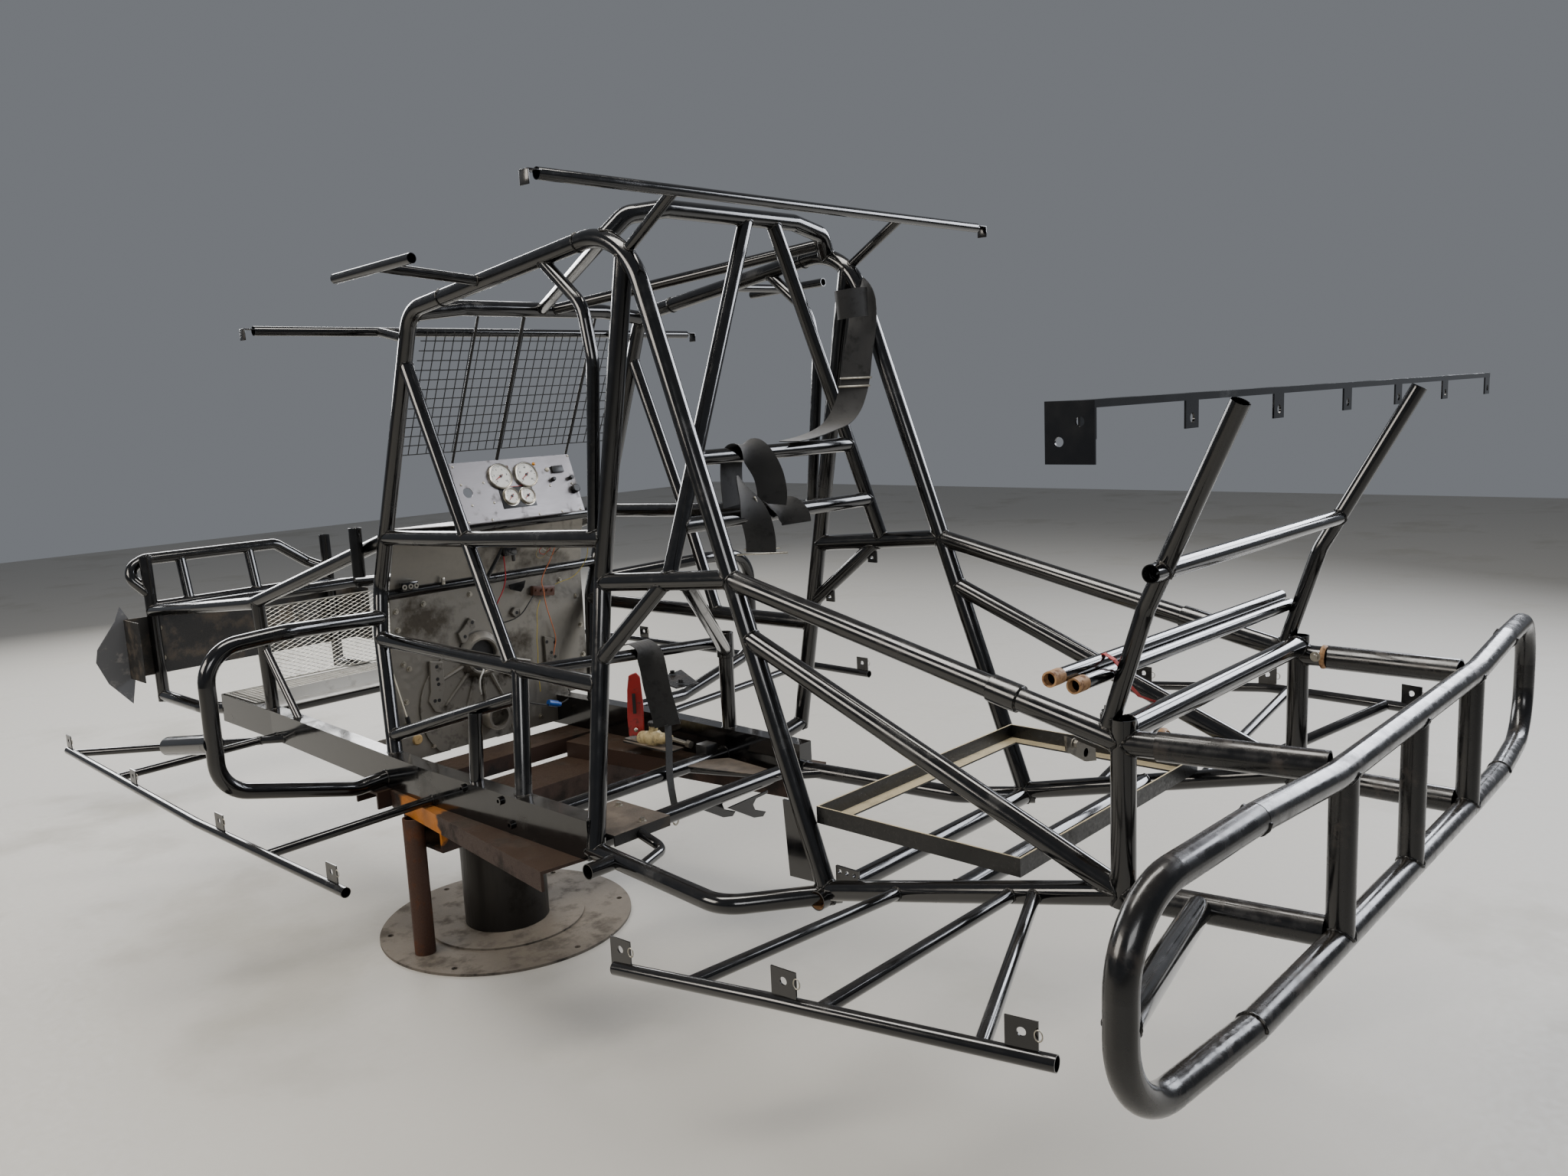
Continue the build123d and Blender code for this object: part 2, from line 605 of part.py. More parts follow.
def support_tubes() -> list[Tube]:
    """The bars that stood outside the frame to carry the body and roof skins."""
    roof_bar_rear_y = 1184.0
    roof_bar_front_y = -80.0
    roof_bar_rear_h = 1546.0
    roof_bar_front_h = 1330.0
    tubes = []
    for side, h in ((1, 5.0), (-1, 95.0)):
        rear_y = 610 if side == 1 else 518
        front = at(side * (SUPPORT_X - 36), -1370, h)
        widest = at(side * SUPPORT_X, -200, h)
        rear = at(side * (SUPPORT_X - 12), rear_y, h)
        tubes.append(skin("side_supports", front, widest, rear))
        root_h = SKIN_OD / 2 + 3 if side == 1 else 60
        for y in (-868, 208):
            line = (front, widest) if y < -200 else (widest, rear)
            tubes.append(skin("support_arms", on_rail(side, y, root_h), at_length(*line, y)))
        strut_root = on_rail(side, -790, root_h)
        tubes.append(skin("support_arms", strut_root, at_length(front, widest, -1310)))
        lift = 0 if side == 1 else 95
        outer = (
            at(side * 1010, 1565, 100 + lift),
            at(side * 985, 1960, 150 + lift),
            at(side * 900, 2390, 165 + lift),
        )
        tubes.append(skin("side_supports", *outer))
        low_front = LOWER_FRONT if side == 1 else right_of(LOWER_FRONT)
        low_rear = LOWER_REAR if side == 1 else right_of(LOWER_REAR)
        for root_y, line, end_y in (
            (1749, outer[:2], 1749),
            (2018, outer[1:], 2018),
            (2062, outer[1:], 2280),
        ):
            root = at_length(low_front, low_rear, root_y)
            tubes.append(skin("support_arms", root, at_length(*line, end_y)))
    rear_bar = at(0, roof_bar_rear_y, roof_bar_rear_h)
    left = Vector(ROOF_BAR_REAR_HALF, rear_bar.Y, rear_bar.Z)
    tubes.append(skin("roof_mount_bars", left, right_of(left)))
    foot = shifted(C_TOP, h=-64)
    tubes += both_sides(skin, "roof_mount_arms", foot, Vector(ROOF_HALF + 5, rear_bar.Y, rear_bar.Z))
    left = at(ROOF_BAR_FRONT_HALF, roof_bar_front_y, roof_bar_front_h)
    tubes.append(skin("roof_mount_bars", left, right_of(left)))
    brow = at_height(A_SHIN, A_BROW, roof_bar_front_h - 30)
    tubes += both_sides(skin, "roof_mount_arms", brow, Vector(brow.X, left.Y, left.Z))
    for side, y1, y2, arm_y, h in ((1, 220, 590, 445, 1440), (-1, 344, 657, 500, 1430)):
        root = at_length(A_TOP, ROOF_END, arm_y)
        root = root if side == 1 else right_of(root)
        tubes.append(skin("roof_mount_bars", at(side * 700, y1, h), at(side * 700, y2, h + 12)))
        tubes.append(skin("roof_mount_arms", root, at(side * 700, arm_y, h + 6)))
    return tubes


def floor_tubes() -> list[Tube]:
    """Cross members between the frame rails and the tubes at their rear ends."""
    tubes = []
    low_h = MAIN_OD / 2 + SEAT_GAP
    for y, h in ((SEAT_POST_Y - 5, low_h), (RAIL_REAR_Y - 30, PLATFORM_H - low_h), (-1150, 40)):
        tubes.append(main("rail_cross_members", on_rail(1, y, h), on_rail(-1, y, h)))
    j_start = at(430, PLATFORM_FLANGE_Y + PLATFORM_FLANGE / 2 + SEAT_GAP, 40)
    tubes += [
        skin("rail_end_tubes", j_start, at(430, 1040, 20), at(557, 1090, 20), bend=40),
        main("rail_end_tubes", on_rail(-1, 740, 60), at_height(B_FOOT_RIGHT, right_of(B_KNEE), 95)),
        brace("stub_sockets", at(550, 1010, 22), at(640, 1010, 22)),
        skin(
            "hook_tube",
            at(-60, SEAT_POST_Y - 5, 14),
            at(-166, 877, 14),
            at_length(CLIP_FRONT_RIGHT, CLIP_BEND_RIGHT, 995),
        ),
    ]
    return tubes


def centre_line(tube: Tube):
    """The tube's centre line, straight or with filleted corners."""
    with BuildLine() as line:
        if len(tube.path) == 2:
            Line(*tube.path)
        else:
            FilletPolyline(*tube.path, radius=tube.bend)
    return line.line


def swept(line, radius: float, inner: float = 0.0):
    """A round bar, or a tube if inner is given, along a centre line."""
    with BuildPart() as piece:
        with BuildSketch(Plane(origin=line @ 0, z_dir=line % 0)):
            Circle(radius)
            if inner:
                Circle(inner, mode=Mode.SUBTRACT)
        sweep(path=line)
    return piece.part


def rail_outline(side: int, inset: float) -> list[tuple[float, float]]:
    """The plan view of a frame rail, drawn in by inset on each side and end."""
    stations = (RAIL_REAR_Y - inset, RAIL_TAPER_Y, RAIL_ENGINE_Y, RAIL_NOSE_Y + inset)
    half = RAIL_W / 2 - inset
    centres = [on_rail(side, y, 0) for y in stations]
    outer = [(p.X + half, p.Y) for p in centres]
    inner = [(p.X - half, p.Y) for p in reversed(centres)]
    return outer + inner


# Frame rails: closed box sections, straight beside the driver and tapering forward
rail_bars = []
for rail_side in (1, -1):
    with BuildPart() as rail_bar:
        with BuildSketch(Plane.XY.offset(RIDE)):
            Polygon(*rail_outline(rail_side, 0), align=None)
        extrude(amount=RAIL_H)
    rail_bars.append(rail_bar.part)

with BuildPart() as frame_rails:
    add(rail_bars)
    for rail_side in (1, -1):
        with BuildSketch(Plane.XY.offset(RIDE + RAIL_WALL)):
            Polygon(*rail_outline(rail_side, RAIL_WALL), align=None)
        extrude(amount=RAIL_H - 2 * RAIL_WALL, mode=Mode.SUBTRACT)

# Tubes: each one is coped where it meets the rails and the tubes before it
TUBES = cage_tubes() + rear_tubes() + front_tubes() + seat_tubes() + support_tubes() + floor_tubes()
CRUMB = 0.02
pieces: dict[str, list] = {}
fitted: list[tuple] = []
for tube in TUBES:
    line = centre_line(tube)
    radius = tube.od / 2
    mates = [bar for bar in rail_bars if line.distance_to(bar) < radius]
    mates += [bar for mate, other, bar in fitted if line.distance_to(other) < radius + mate.od / 2]
    with BuildPart() as member:
        add(swept(line, radius, radius - tube.wall))
        if mates:
            add(mates, mode=Mode.SUBTRACT)
    solids = member.part.solids()
    whole = sum(solid.volume for solid in solids)
    pieces.setdefault(tube.node, []).extend(s for s in solids if s.volume > CRUMB * whole)
    fitted.append((tube, line, swept(line, radius + WELD_GAP)))


def export(name: str, solids: list) -> None:
    """Label a piece and write it as a STEP file."""
    piece = Compound(label=name, children=list(solids)) if len(solids) > 1 else solids[0]
    piece.label = name
    export_step(piece, f"parts/{name}.step")


def facing(x: float, y: float, h: float) -> Plane:
    """An upright plane across the car, its X to the left and its Z to the front."""
    return Plane(origin=at(x, y, h), x_dir=(1, 0, 0), z_dir=(0, -1, 0))


# Firewall: one sheet that steps down between the rails
firewall_rail_x = rail_x(FIREWALL_Y - FIREWALL_SHEET) - RAIL_W / 2 - SEAT_GAP
firewall_left = FRAME_MID_X + firewall_rail_x
firewall_right = FRAME_MID_X - firewall_rail_x
firewall_top = at_height(A_KNEE, A_SHIN, 545).Z - RIDE - LIGHT_OD / 2 - SEAT_GAP
with BuildPart() as firewall:
    with BuildSketch(facing(0, FIREWALL_Y, 0)):
        Polygon(
            (402, firewall_top),
            (-334, firewall_top),
            (-334, RAIL_H + SEAT_GAP),
            (firewall_right, RAIL_H + SEAT_GAP),
            (firewall_right, 10),
            (firewall_left, 10),
            (firewall_left, RAIL_H + SEAT_GAP),
            (430, RAIL_H + SEAT_GAP),
            align=None,
        )
        with Locations((FRAME_MID_X, BELL_H)):
            Circle(BELL_R, mode=Mode.SUBTRACT)
    extrude(amount=FIREWALL_SHEET)

# Dash: a leaning panel over a lip that lies on the upper cowl tube
lip_h = WAIST_H + BRACE_OD / 2 + SEAT_GAP
lip_corners = (
    (CAGE_HALF - 40, DASH_LIP_Y + 25),
    (DASH_LEFT_X, DASH_Y),
    (DASH_RIGHT_X, DASH_Y),
    (-285, DASH_LIP_Y + 25),
    (-285, DASH_LIP_Y),
    (CAGE_HALF - 40, DASH_LIP_Y),
)
big_gauges = ((48, 145), (-50, 143))
small_gauges = ((28, 76), (-33, 73))
with BuildPart() as dash_panel:
    with BuildSketch(Plane.XY.offset(RIDE + lip_h)):
        with BuildLine():
            Polyline(
                *[tuple(at(x, y, 0))[:2] for x, y in lip_corners],
                close=True,
            )
        make_face()
    extrude(amount=SHEET)
    dash_face = Plane(
        origin=at(0, DASH_Y, lip_h),
        x_dir=(1, 0, 0),
        z_dir=Vector(1, 0, 0).cross(Vector(0, DASH_LEAN, DASH_TOP_H - lip_h)),
    )
    dash_slope = math.hypot(DASH_LEAN, DASH_TOP_H - lip_h)
    with BuildSketch(dash_face):
        with Locations(((DASH_LEFT_X + DASH_RIGHT_X) / 2, dash_slope / 2)):
            Rectangle(DASH_LEFT_X - DASH_RIGHT_X, dash_slope)
        with Locations(*big_gauges):
            Circle(GAUGE_HOLE_R, mode=Mode.SUBTRACT)
        with Locations(*small_gauges):
            Circle(SMALL_HOLE_R, mode=Mode.SUBTRACT)
        with Locations((178, 103)):
            Circle(DASH_HOLE_R, mode=Mode.SUBTRACT)
    extrude(amount=SHEET)

# Gauges: bezels in front of the panel, cans through its holes
with BuildPart() as dash_gauges:
    for centres, bezel, can in (
        (big_gauges, GAUGE_R, GAUGE_HOLE_R - SEAT_GAP),
        (small_gauges, SMALL_GAUGE_R, SMALL_HOLE_R - SEAT_GAP),
    ):
        with BuildSketch(dash_face.offset(-SEAT_GAP)):
            with Locations(*centres):
                Circle(bezel)
        extrude(amount=-12)
        with BuildSketch(dash_face.offset(-SEAT_GAP)):
            with Locations(*centres):
                Circle(can)
        extrude(amount=38)

# Windscreen guard: a wire screen on three rods between the header and the dash
screen_low = at(0, DASH_Y + DASH_LEAN - 2 * SHEET, DASH_TOP_H + SCREEN_FOOT)
screen_top = shifted(HEADER_MID, x=-HEADER_MID.X)
screen_rise = screen_top - screen_low
screen_plane = Plane(
    origin=screen_low, x_dir=(1, 0, 0), z_dir=Vector(1, 0, 0).cross(screen_rise)
)
screen_h = screen_rise.length
mesh_low = 48.0
mesh_high = screen_h - 62.0
header_bars = [bar for tube, _, bar in fitted if HEADER_LEFT in tube.path]
with BuildPart() as windscreen_guard:
    with BuildSketch(screen_plane):
        Polygon((373, mesh_low), (349, mesh_high), (-298, mesh_high), (-387, mesh_low), align=None)
        pitch_x = 700.0 / MESH_COLUMNS
        pitch_y = (mesh_high - mesh_low) / MESH_ROWS
        with Locations((-7, (mesh_low + mesh_high) / 2)):
            with GridLocations(pitch_x, pitch_y, MESH_COLUMNS - 1, MESH_ROWS):
                Rectangle(pitch_x - MESH_BAR, pitch_y - MESH_BAR, mode=Mode.SUBTRACT)
    extrude(amount=MESH_THICK)
    for rod_x in (200, 38, -235):
        with BuildSketch(screen_plane.offset(-4)):
            with Locations((rod_x, screen_h / 2)):
                Rectangle(10, screen_h)
        extrude(amount=4)
    add(header_bars, mode=Mode.SUBTRACT)

# Nose: a bent sheet on the front posts, with returns along both sides
nose_y = at_height(POST_FOOT, POST_TOP, NOSE_HIGH_H).Y - MAIN_OD / 2 - SEAT_GAP
nose_mid_x = (NOSE_LEFT_X + NOSE_RIGHT_X) / 2
nose_w = NOSE_LEFT_X - NOSE_RIGHT_X
with BuildPart() as nose_sheet:
    with BuildSketch(Plane.XY.offset(RIDE + NOSE_LOW_H)):
        with Locations((nose_mid_x, nose_y - SHEET / 2)):
            Rectangle(nose_w, SHEET)
        for return_x in (NOSE_LEFT_X - SHEET / 2, NOSE_RIGHT_X + SHEET / 2):
            with Locations((return_x, nose_y - SHEET + NOSE_RETURN / 2)):
                Rectangle(SHEET, NOSE_RETURN)
    extrude(amount=NOSE_HIGH_H - NOSE_LOW_H)

flap_plane = Plane(
    origin=(0, nose_y - SHEET - SEAT_GAP, RIDE), x_dir=(1, 0, 0), z_dir=(0, -1, 0)
)
with BuildPart() as nose_flap:
    with BuildSketch(flap_plane):
        Polygon(
            (600, 350),
            (628, 403),
            (650, 350),
            (725, 250),
            (735, 200),
            (700, 110),
            (622, 15),
            (600, 130),
            align=None,
        )
    extrude(amount=FLAP_SHEET)

# Rock screen ahead of the engine bay, with diamond openings, and the tray below it
screen_y = UPRIGHT_Y - MAIN_OD / 2 - SEAT_GAP
with BuildPart() as rock_screen:
    with BuildSketch(facing(0, screen_y, 0)):
        Polygon((484, 190), (490, 452), (-194, 452), (-186, 190), align=None)
        diamond_x = 640.0 / DIAMOND_COLUMNS
        diamond_y = 250.0 / DIAMOND_ROWS
        for shift_x, shift_y, columns, rows in (
            (0, 0, DIAMOND_COLUMNS, DIAMOND_ROWS),
            (diamond_x / 2, diamond_y / 2, DIAMOND_COLUMNS - 1, DIAMOND_ROWS - 1),
        ):
            with Locations((FRAME_MID_X, 324)):
                with GridLocations(diamond_x, diamond_y, columns, rows):
                    Polygon(
                        (diamond_x / 2 - 4, 0),
                        (0, diamond_y / 2 - 4),
                        (4 - diamond_x / 2, 0),
                        (0, 4 - diamond_y / 2),
                        mode=Mode.SUBTRACT,
                    )
    extrude(amount=SHEET)

tray_half = rail_x(TRAY_FRONT_Y) - RAIL_W / 2 - SEAT_GAP
with BuildPart() as screen_tray:
    with BuildSketch(Plane.YZ.offset(FRAME_MID_X - tray_half)):
        with Locations((at(0, TRAY_FRONT_Y + TRAY_DEPTH / 2, 0).Y, RIDE + TRAY_H + SHEET / 2)):
            Rectangle(TRAY_DEPTH, SHEET)
        with Locations((at(0, TRAY_FRONT_Y + SHEET / 2, 0).Y, RIDE + TRAY_H + TRAY_LIP / 2)):
            Rectangle(SHEET, TRAY_LIP)
    extrude(amount=2 * tray_half)

# Fuel cell cradle: an angle-iron ring hung from the diagonals and lying on the lower tubes
cradle_l = CRADLE_REAR_Y - CRADLE_FRONT_Y
cradle_mid_y = (CRADLE_REAR_Y + CRADLE_FRONT_Y) / 2
cradle_h = at_length(LOWER_FRONT, LOWER_REAR, CRADLE_REAR_Y).Z - RIDE + MAIN_OD / 2 + 1
with BuildPart() as fuel_cell_cradle:
    with BuildSketch(Plane.XY.offset(RIDE + cradle_h)):
        with Locations((0, at(0, cradle_mid_y, 0).Y)):
            Rectangle(2 * CRADLE_HALF, cradle_l)
            Rectangle(2 * (CRADLE_HALF - CRADLE_LEG), cradle_l - 2 * CRADLE_LEG, mode=Mode.SUBTRACT)
    extrude(amount=CRADLE_STEEL)
    with BuildSketch(Plane.XY.offset(RIDE + cradle_h)):
        with Locations((0, at(0, cradle_mid_y, 0).Y)):
            Rectangle(2 * CRADLE_HALF, cradle_l)
            Rectangle(
                2 * (CRADLE_HALF - CRADLE_STEEL), cradle_l - 2 * CRADLE_STEEL, mode=Mode.SUBTRACT
            )
    extrude(amount=CRADLE_LEG)

# Deck rail: a slotted channel on the deck posts, with an end plate at the left
deck_y = DECK_TOP.Y
post_lean = (DECK_TOP - DECK_KNEE).get_angle(Vector(0, 0, 1))
post_crown = LIGHT_OD / 2 * math.sin(math.radians(post_lean))
deck_z = DECK_TOP.Z + post_crown + SEAT_GAP + DECK_THICK - SHEET
with BuildPart() as deck_rail:
    with BuildSketch(Plane.XY.offset(deck_z)):
        with Locations((0, deck_y)):
            Rectangle(2 * DECK_HALF, DECK_DEPTH)
        with Locations((0, deck_y)):
            with GridLocations(240, 0, 8, 1):
                SlotOverall(90, 9, mode=Mode.SUBTRACT)
    extrude(amount=SHEET)
    for edge in (-1, 1):
        with BuildSketch(Plane.XY.offset(deck_z + SHEET - DECK_THICK)):
            with Locations((0, deck_y + edge * (DECK_DEPTH - SHEET) / 2)):
                Rectangle(2 * DECK_HALF, SHEET)
        extrude(amount=DECK_THICK)
    deck_back = Plane(origin=(0, deck_y + DECK_DEPTH / 2, 0), x_dir=(1, 0, 0), z_dir=(0, -1, 0))
    with BuildSketch(deck_back):
        with Locations(*[(x, deck_z + SHEET) for x in (944, 654, 339, 20, -271, -593, -944)]):
            with Locations((0, -DECK_TAB_DROP / 2)):
                Rectangle(DECK_TAB_W, DECK_TAB_DROP)
            with Locations((0, 14 - DECK_TAB_DROP)):
                Circle(TAB_HOLE_R, mode=Mode.SUBTRACT)
    extrude(amount=SHEET)
    with BuildSketch(Plane.YZ.offset(DECK_HALF - SHEET)):
        with Locations((deck_y, deck_z + SHEET - 38)):
            Rectangle(DECK_DEPTH + 40, 76)
        with Locations((deck_y - 14, deck_z - 46), (deck_y + 14, deck_z - 22)):
            Circle(6, mode=Mode.SUBTRACT)
    extrude(amount=SHEET)

# Brackets: upright tabs on the side supports, ears under the right brace, bosses on the
# left rail, and the gusset and holed plate at the left rear pillar's foot
def tab_plane(foot: Vector, along: Vector) -> Plane:
    """An upright plane through a tube at foot, its X along the tube and its Y up."""
    level = Vector(along.X, along.Y, 0).normalized()
    return Plane(origin=foot, x_dir=level, z_dir=level.cross(Vector(0, 0, 1)))


tab_stations = []
for tube, _, _ in fitted:
    if tube.node == "side_supports":
        rear_tab = 553 if tube.path[0].X > 0 else 488
        ahead = tube.path[0].Y < 0
        for station in (-1345, -702, -49, rear_tab) if ahead else (1583, 1956, 2340):
            pair = tube.path[:2] if station + 0.5 < tube.path[1].Y + FRONT_TO_CAGE else tube.path[1:]
            tab_stations.append((at_length(*pair, station), pair[1] - pair[0]))
brace_right = [tube for tube, _, _ in fitted if tube.node == "side_braces"][2].path
gusset_outline = ((1437, 40), (1425, 215), (1475, 215), (1538, 45))
carriers = ("side_supports", "side_braces", "c_pillars", "clip_lowers", "clip_cross_tubes")
with BuildPart() as brackets:
    for foot, along in tab_stations:
        with BuildSketch(tab_plane(foot, along)):
            with Locations((0, TAB_RISE / 2)):
                Rectangle(TAB_W, TAB_RISE)
            with Locations((0, TAB_RISE - 20)):
                Circle(TAB_HOLE_R, mode=Mode.SUBTRACT)
        extrude(amount=TAB_STEEL / 2, both=True)
    for station in (884, 1051):
        with BuildSketch(tab_plane(at_length(*brace_right, station), Vector(0, 1, 0))):
            with Locations((0, -EAR_DROP / 2)):
                Rectangle(EAR_W, EAR_DROP)
            with Locations((0, 14 - EAR_DROP)):
                Circle(TAB_HOLE_R - 2, mode=Mode.SUBTRACT)
        extrude(amount=GUSSET_STEEL / 2, both=True)
    with BuildSketch(Plane.YZ.offset(C_FOOT.X)):
        Polygon(*[(at(0, y, h).Y, at(0, y, h).Z) for y, h in gusset_outline], align=None)
        with Locations((at(0, 1603, 0).Y, RIDE + 72)):
            Rectangle(62, 50)
            with GridLocations(20, 0, 3, 1):
                with Locations((0, 14)):
                    Circle(5, mode=Mode.SUBTRACT)
    extrude(amount=GUSSET_STEEL / 2, both=True)
    with BuildSketch(Plane.YZ.offset(FRAME_MID_X + RAIL_HALF_REAR + RAIL_W / 2 + WELD_GAP)):
        with Locations(*[(at(0, y, h).Y, at(0, y, h).Z) for y, h in ((380, 83), (554, 82), (596, 25))]):
            Circle(11)
            Circle(5, mode=Mode.SUBTRACT)
    extrude(amount=8)
    add([bar for tube, _, bar in fitted if tube.node in carriers], mode=Mode.SUBTRACT)

# Platform inside the left rail's rear end
platform_right = 330.0
platform_left = FRAME_MID_X + RAIL_HALF_REAR - RAIL_W / 2 - SEAT_GAP
platform_w = platform_left - platform_right
with BuildPart() as rail_platform:
    with BuildSketch(Plane.XY.offset(RIDE + PLATFORM_H)):
        with Locations(((platform_left + platform_right) / 2, at(0, PLATFORM_FLANGE_Y - 103, 0).Y)):
            Rectangle(platform_w, 206 + PLATFORM_FLANGE)
    extrude(amount=PLATFORM_THICK)
    with BuildSketch(Plane.XY.offset(RIDE + PLATFORM_H - 20)):
        with Locations(((platform_left + platform_right) / 2, at(0, PLATFORM_FLANGE_Y, 0).Y)):
            Rectangle(platform_w, PLATFORM_FLANGE)
    extrude(amount=20 + PLATFORM_THICK)

# Floor lever beside the right rail, on its bracket
lever_x = -120.0
lever_base_h = 44.0
with BuildPart() as floor_lever:
    bracket_right = FRAME_MID_X - RAIL_HALF_REAR + RAIL_W / 2 + SEAT_GAP
    with BuildSketch(Plane.XY.offset(RIDE + lever_base_h - 6)):
        with Locations(((bracket_right + lever_x + 20) / 2, at(0, 300, 0).Y)):
            Rectangle(lever_x + 20 - bracket_right, 70)
    extrude(amount=6)
    with BuildSketch(Plane.YZ.offset(lever_x - 5)):
        with Locations((at(0, 300, 0).Y, RIDE + lever_base_h + 90)):
            Rectangle(30, 180)
    extrude(amount=10)
    fillet(floor_lever.edges().filter_by(Axis.X).sort_by(Axis.Z)[-2:], radius=12)

# Harness belts over the upper belt bar
belt_y = at_height(at_length(B_KNEE, REAR_WAIST_END, 1090), at(-50, 960, BOW_H), BELT_BAR_HIGH)
belt_reach = BRACE_OD / 2 + SEAT_GAP
with BuildPart() as harness_belts:
    for belt_x, front_drop, rear_drop in ((30, 250, 125), (-120, 190, 110)):
        with BuildSketch(Plane.YZ.offset(belt_x - 25)):
            with Locations((belt_y.Y, belt_y.Z)):
                Circle(belt_reach + 4)
                Circle(belt_reach, mode=Mode.SUBTRACT)
                with Locations((0, -belt_reach)):
                    Rectangle(2 * belt_reach + 10, 2 * belt_reach, mode=Mode.SUBTRACT)
            with Locations((belt_y.Y - belt_reach - 2, belt_y.Z - front_drop / 2)):
                Rectangle(4, front_drop)
            with Locations((belt_y.Y + belt_reach + 2, belt_y.Z - rear_drop / 2)):
                Rectangle(4, rear_drop)
        extrude(amount=50)

# Strap that hangs from the cross member, with its loop
strap_y = at(0, SEAT_POST_Y - 5, 0).Y + MAIN_OD / 2 + SEAT_GAP
with BuildPart() as hanging_strap:
    with BuildSketch(Plane.XZ.offset(-strap_y)):
        with Locations((20, RIDE - 45)):
            Rectangle(25, 150)
    extrude(amount=-3)

with BuildPart() as strap_loop:
    with BuildSketch(Plane.XZ.offset(-strap_y)):
        with Locations((20, RIDE - 120 - SEAT_GAP - 19)):
            SlotOverall(38, 30, rotation=90)
            SlotOverall(28, 20, rotation=90, mode=Mode.SUBTRACT)
    extrude(amount=-4)

# Lift: two channels under the rails, a cross beam ahead and a bolster below
channel_bars = []
channel_solids = []
for side in (1, -1):
    middle = at(FRAME_MID_X + side * CHANNEL_HALF, CHANNEL_Y, 0)
    channel_plane = Plane.XY.offset(RIDE - CHANNEL_H).rotated((0, 0, -side * CHANNEL_YAW))
    channel_plane = Plane(
        origin=(middle.X, middle.Y, RIDE - CHANNEL_H),
        x_dir=channel_plane.x_dir,
        z_dir=(0, 0, 1),
    )
    with BuildPart() as channel:
        with BuildSketch(channel_plane):
            Rectangle(CHANNEL_W, CHANNEL_L)
        extrude(amount=CHANNEL_H)
    channel_bars.append(channel.part)
    with BuildPart() as channel_hollow:
        with BuildSketch(channel_plane):
            Rectangle(CHANNEL_W - 2 * CHANNEL_STEEL, CHANNEL_L)
        extrude(amount=CHANNEL_H - CHANNEL_STEEL)
    channel_solids.append((channel.part - channel_hollow.part).solid())

with BuildPart() as lift_cross_beam:
    beam_half = CHANNEL_HALF + CHANNEL_W / 2 - 20
    with BuildSketch(Plane.YZ.offset(FRAME_MID_X - beam_half)):
        with Locations((at(0, CROSS_BEAM_Y, 0).Y, RIDE - CHANNEL_H / 2)):
            Rectangle(CROSS_BEAM_W, CHANNEL_H)
        with Locations((at(0, CROSS_BEAM_Y, 0).Y, RIDE - (CHANNEL_H + CHANNEL_STEEL) / 2)):
            Rectangle(
                CROSS_BEAM_W - 2 * CHANNEL_STEEL, CHANNEL_H - CHANNEL_STEEL, mode=Mode.SUBTRACT
            )
    extrude(amount=2 * beam_half)
    add(channel_bars, mode=Mode.SUBTRACT)

bolster_half = LEG_X - LEG_D / 2 - 5 - FRAME_MID_X
with BuildPart() as lift_bolster:
    with BuildSketch(Plane.YZ.offset(FRAME_MID_X - bolster_half)):
        with Locations((at(0, RAM_Y, 0).Y, RIDE - CHANNEL_H - BOLSTER_H / 2)):
            Rectangle(BOLSTER_W, BOLSTER_H)
            Rectangle(
                BOLSTER_W - 2 * BOLSTER_STEEL, BOLSTER_H - 2 * BOLSTER_STEEL, mode=Mode.SUBTRACT
            )
    extrude(amount=2 * bolster_half)

ram_top = RIDE - CHANNEL_H - BOLSTER_H
with BuildPart() as lift_ram:
    with BuildSketch(Plane(origin=(RAM_X, at(0, RAM_Y, 0).Y, 0))):
        Circle(RAM_D / 2)
        Circle(RAM_D / 2 - RAM_WALL, mode=Mode.SUBTRACT)
    extrude(amount=ram_top)

with BuildPart() as lift_leg:
    with BuildSketch(Plane(origin=(LEG_X, at(0, LEG_Y, 0).Y, 0))):
        Circle(LEG_D / 2)
        Circle(LEG_D / 2 - LEG_WALL, mode=Mode.SUBTRACT)
    extrude(amount=RIDE - CHANNEL_H)

with BuildPart() as lift_floor_collar:
    collar_plane = Plane(origin=(RAM_X, at(0, RAM_Y, 0).Y, 0))
    with BuildSketch(collar_plane):
        Circle(FLANGE_D / 2)
        Circle(RAM_D / 2 + SEAT_GAP, mode=Mode.SUBTRACT)
        with PolarLocations(FLANGE_D / 2 - FLANGE_EDGE, FLANGE_HOLES, start_angle=30):
            Circle(FLANGE_HOLE_R, mode=Mode.SUBTRACT)
        with Locations((LEG_X - RAM_X, LEG_Y - RAM_Y)):
            Circle(LEG_D / 2 + SEAT_GAP, mode=Mode.SUBTRACT)
    extrude(amount=FLANGE_THICK)
    with BuildSketch(collar_plane):
        Circle(COLLAR_D / 2)
        Circle(RAM_D / 2 + SEAT_GAP, mode=Mode.SUBTRACT)
    extrude(amount=COLLAR_THICK)

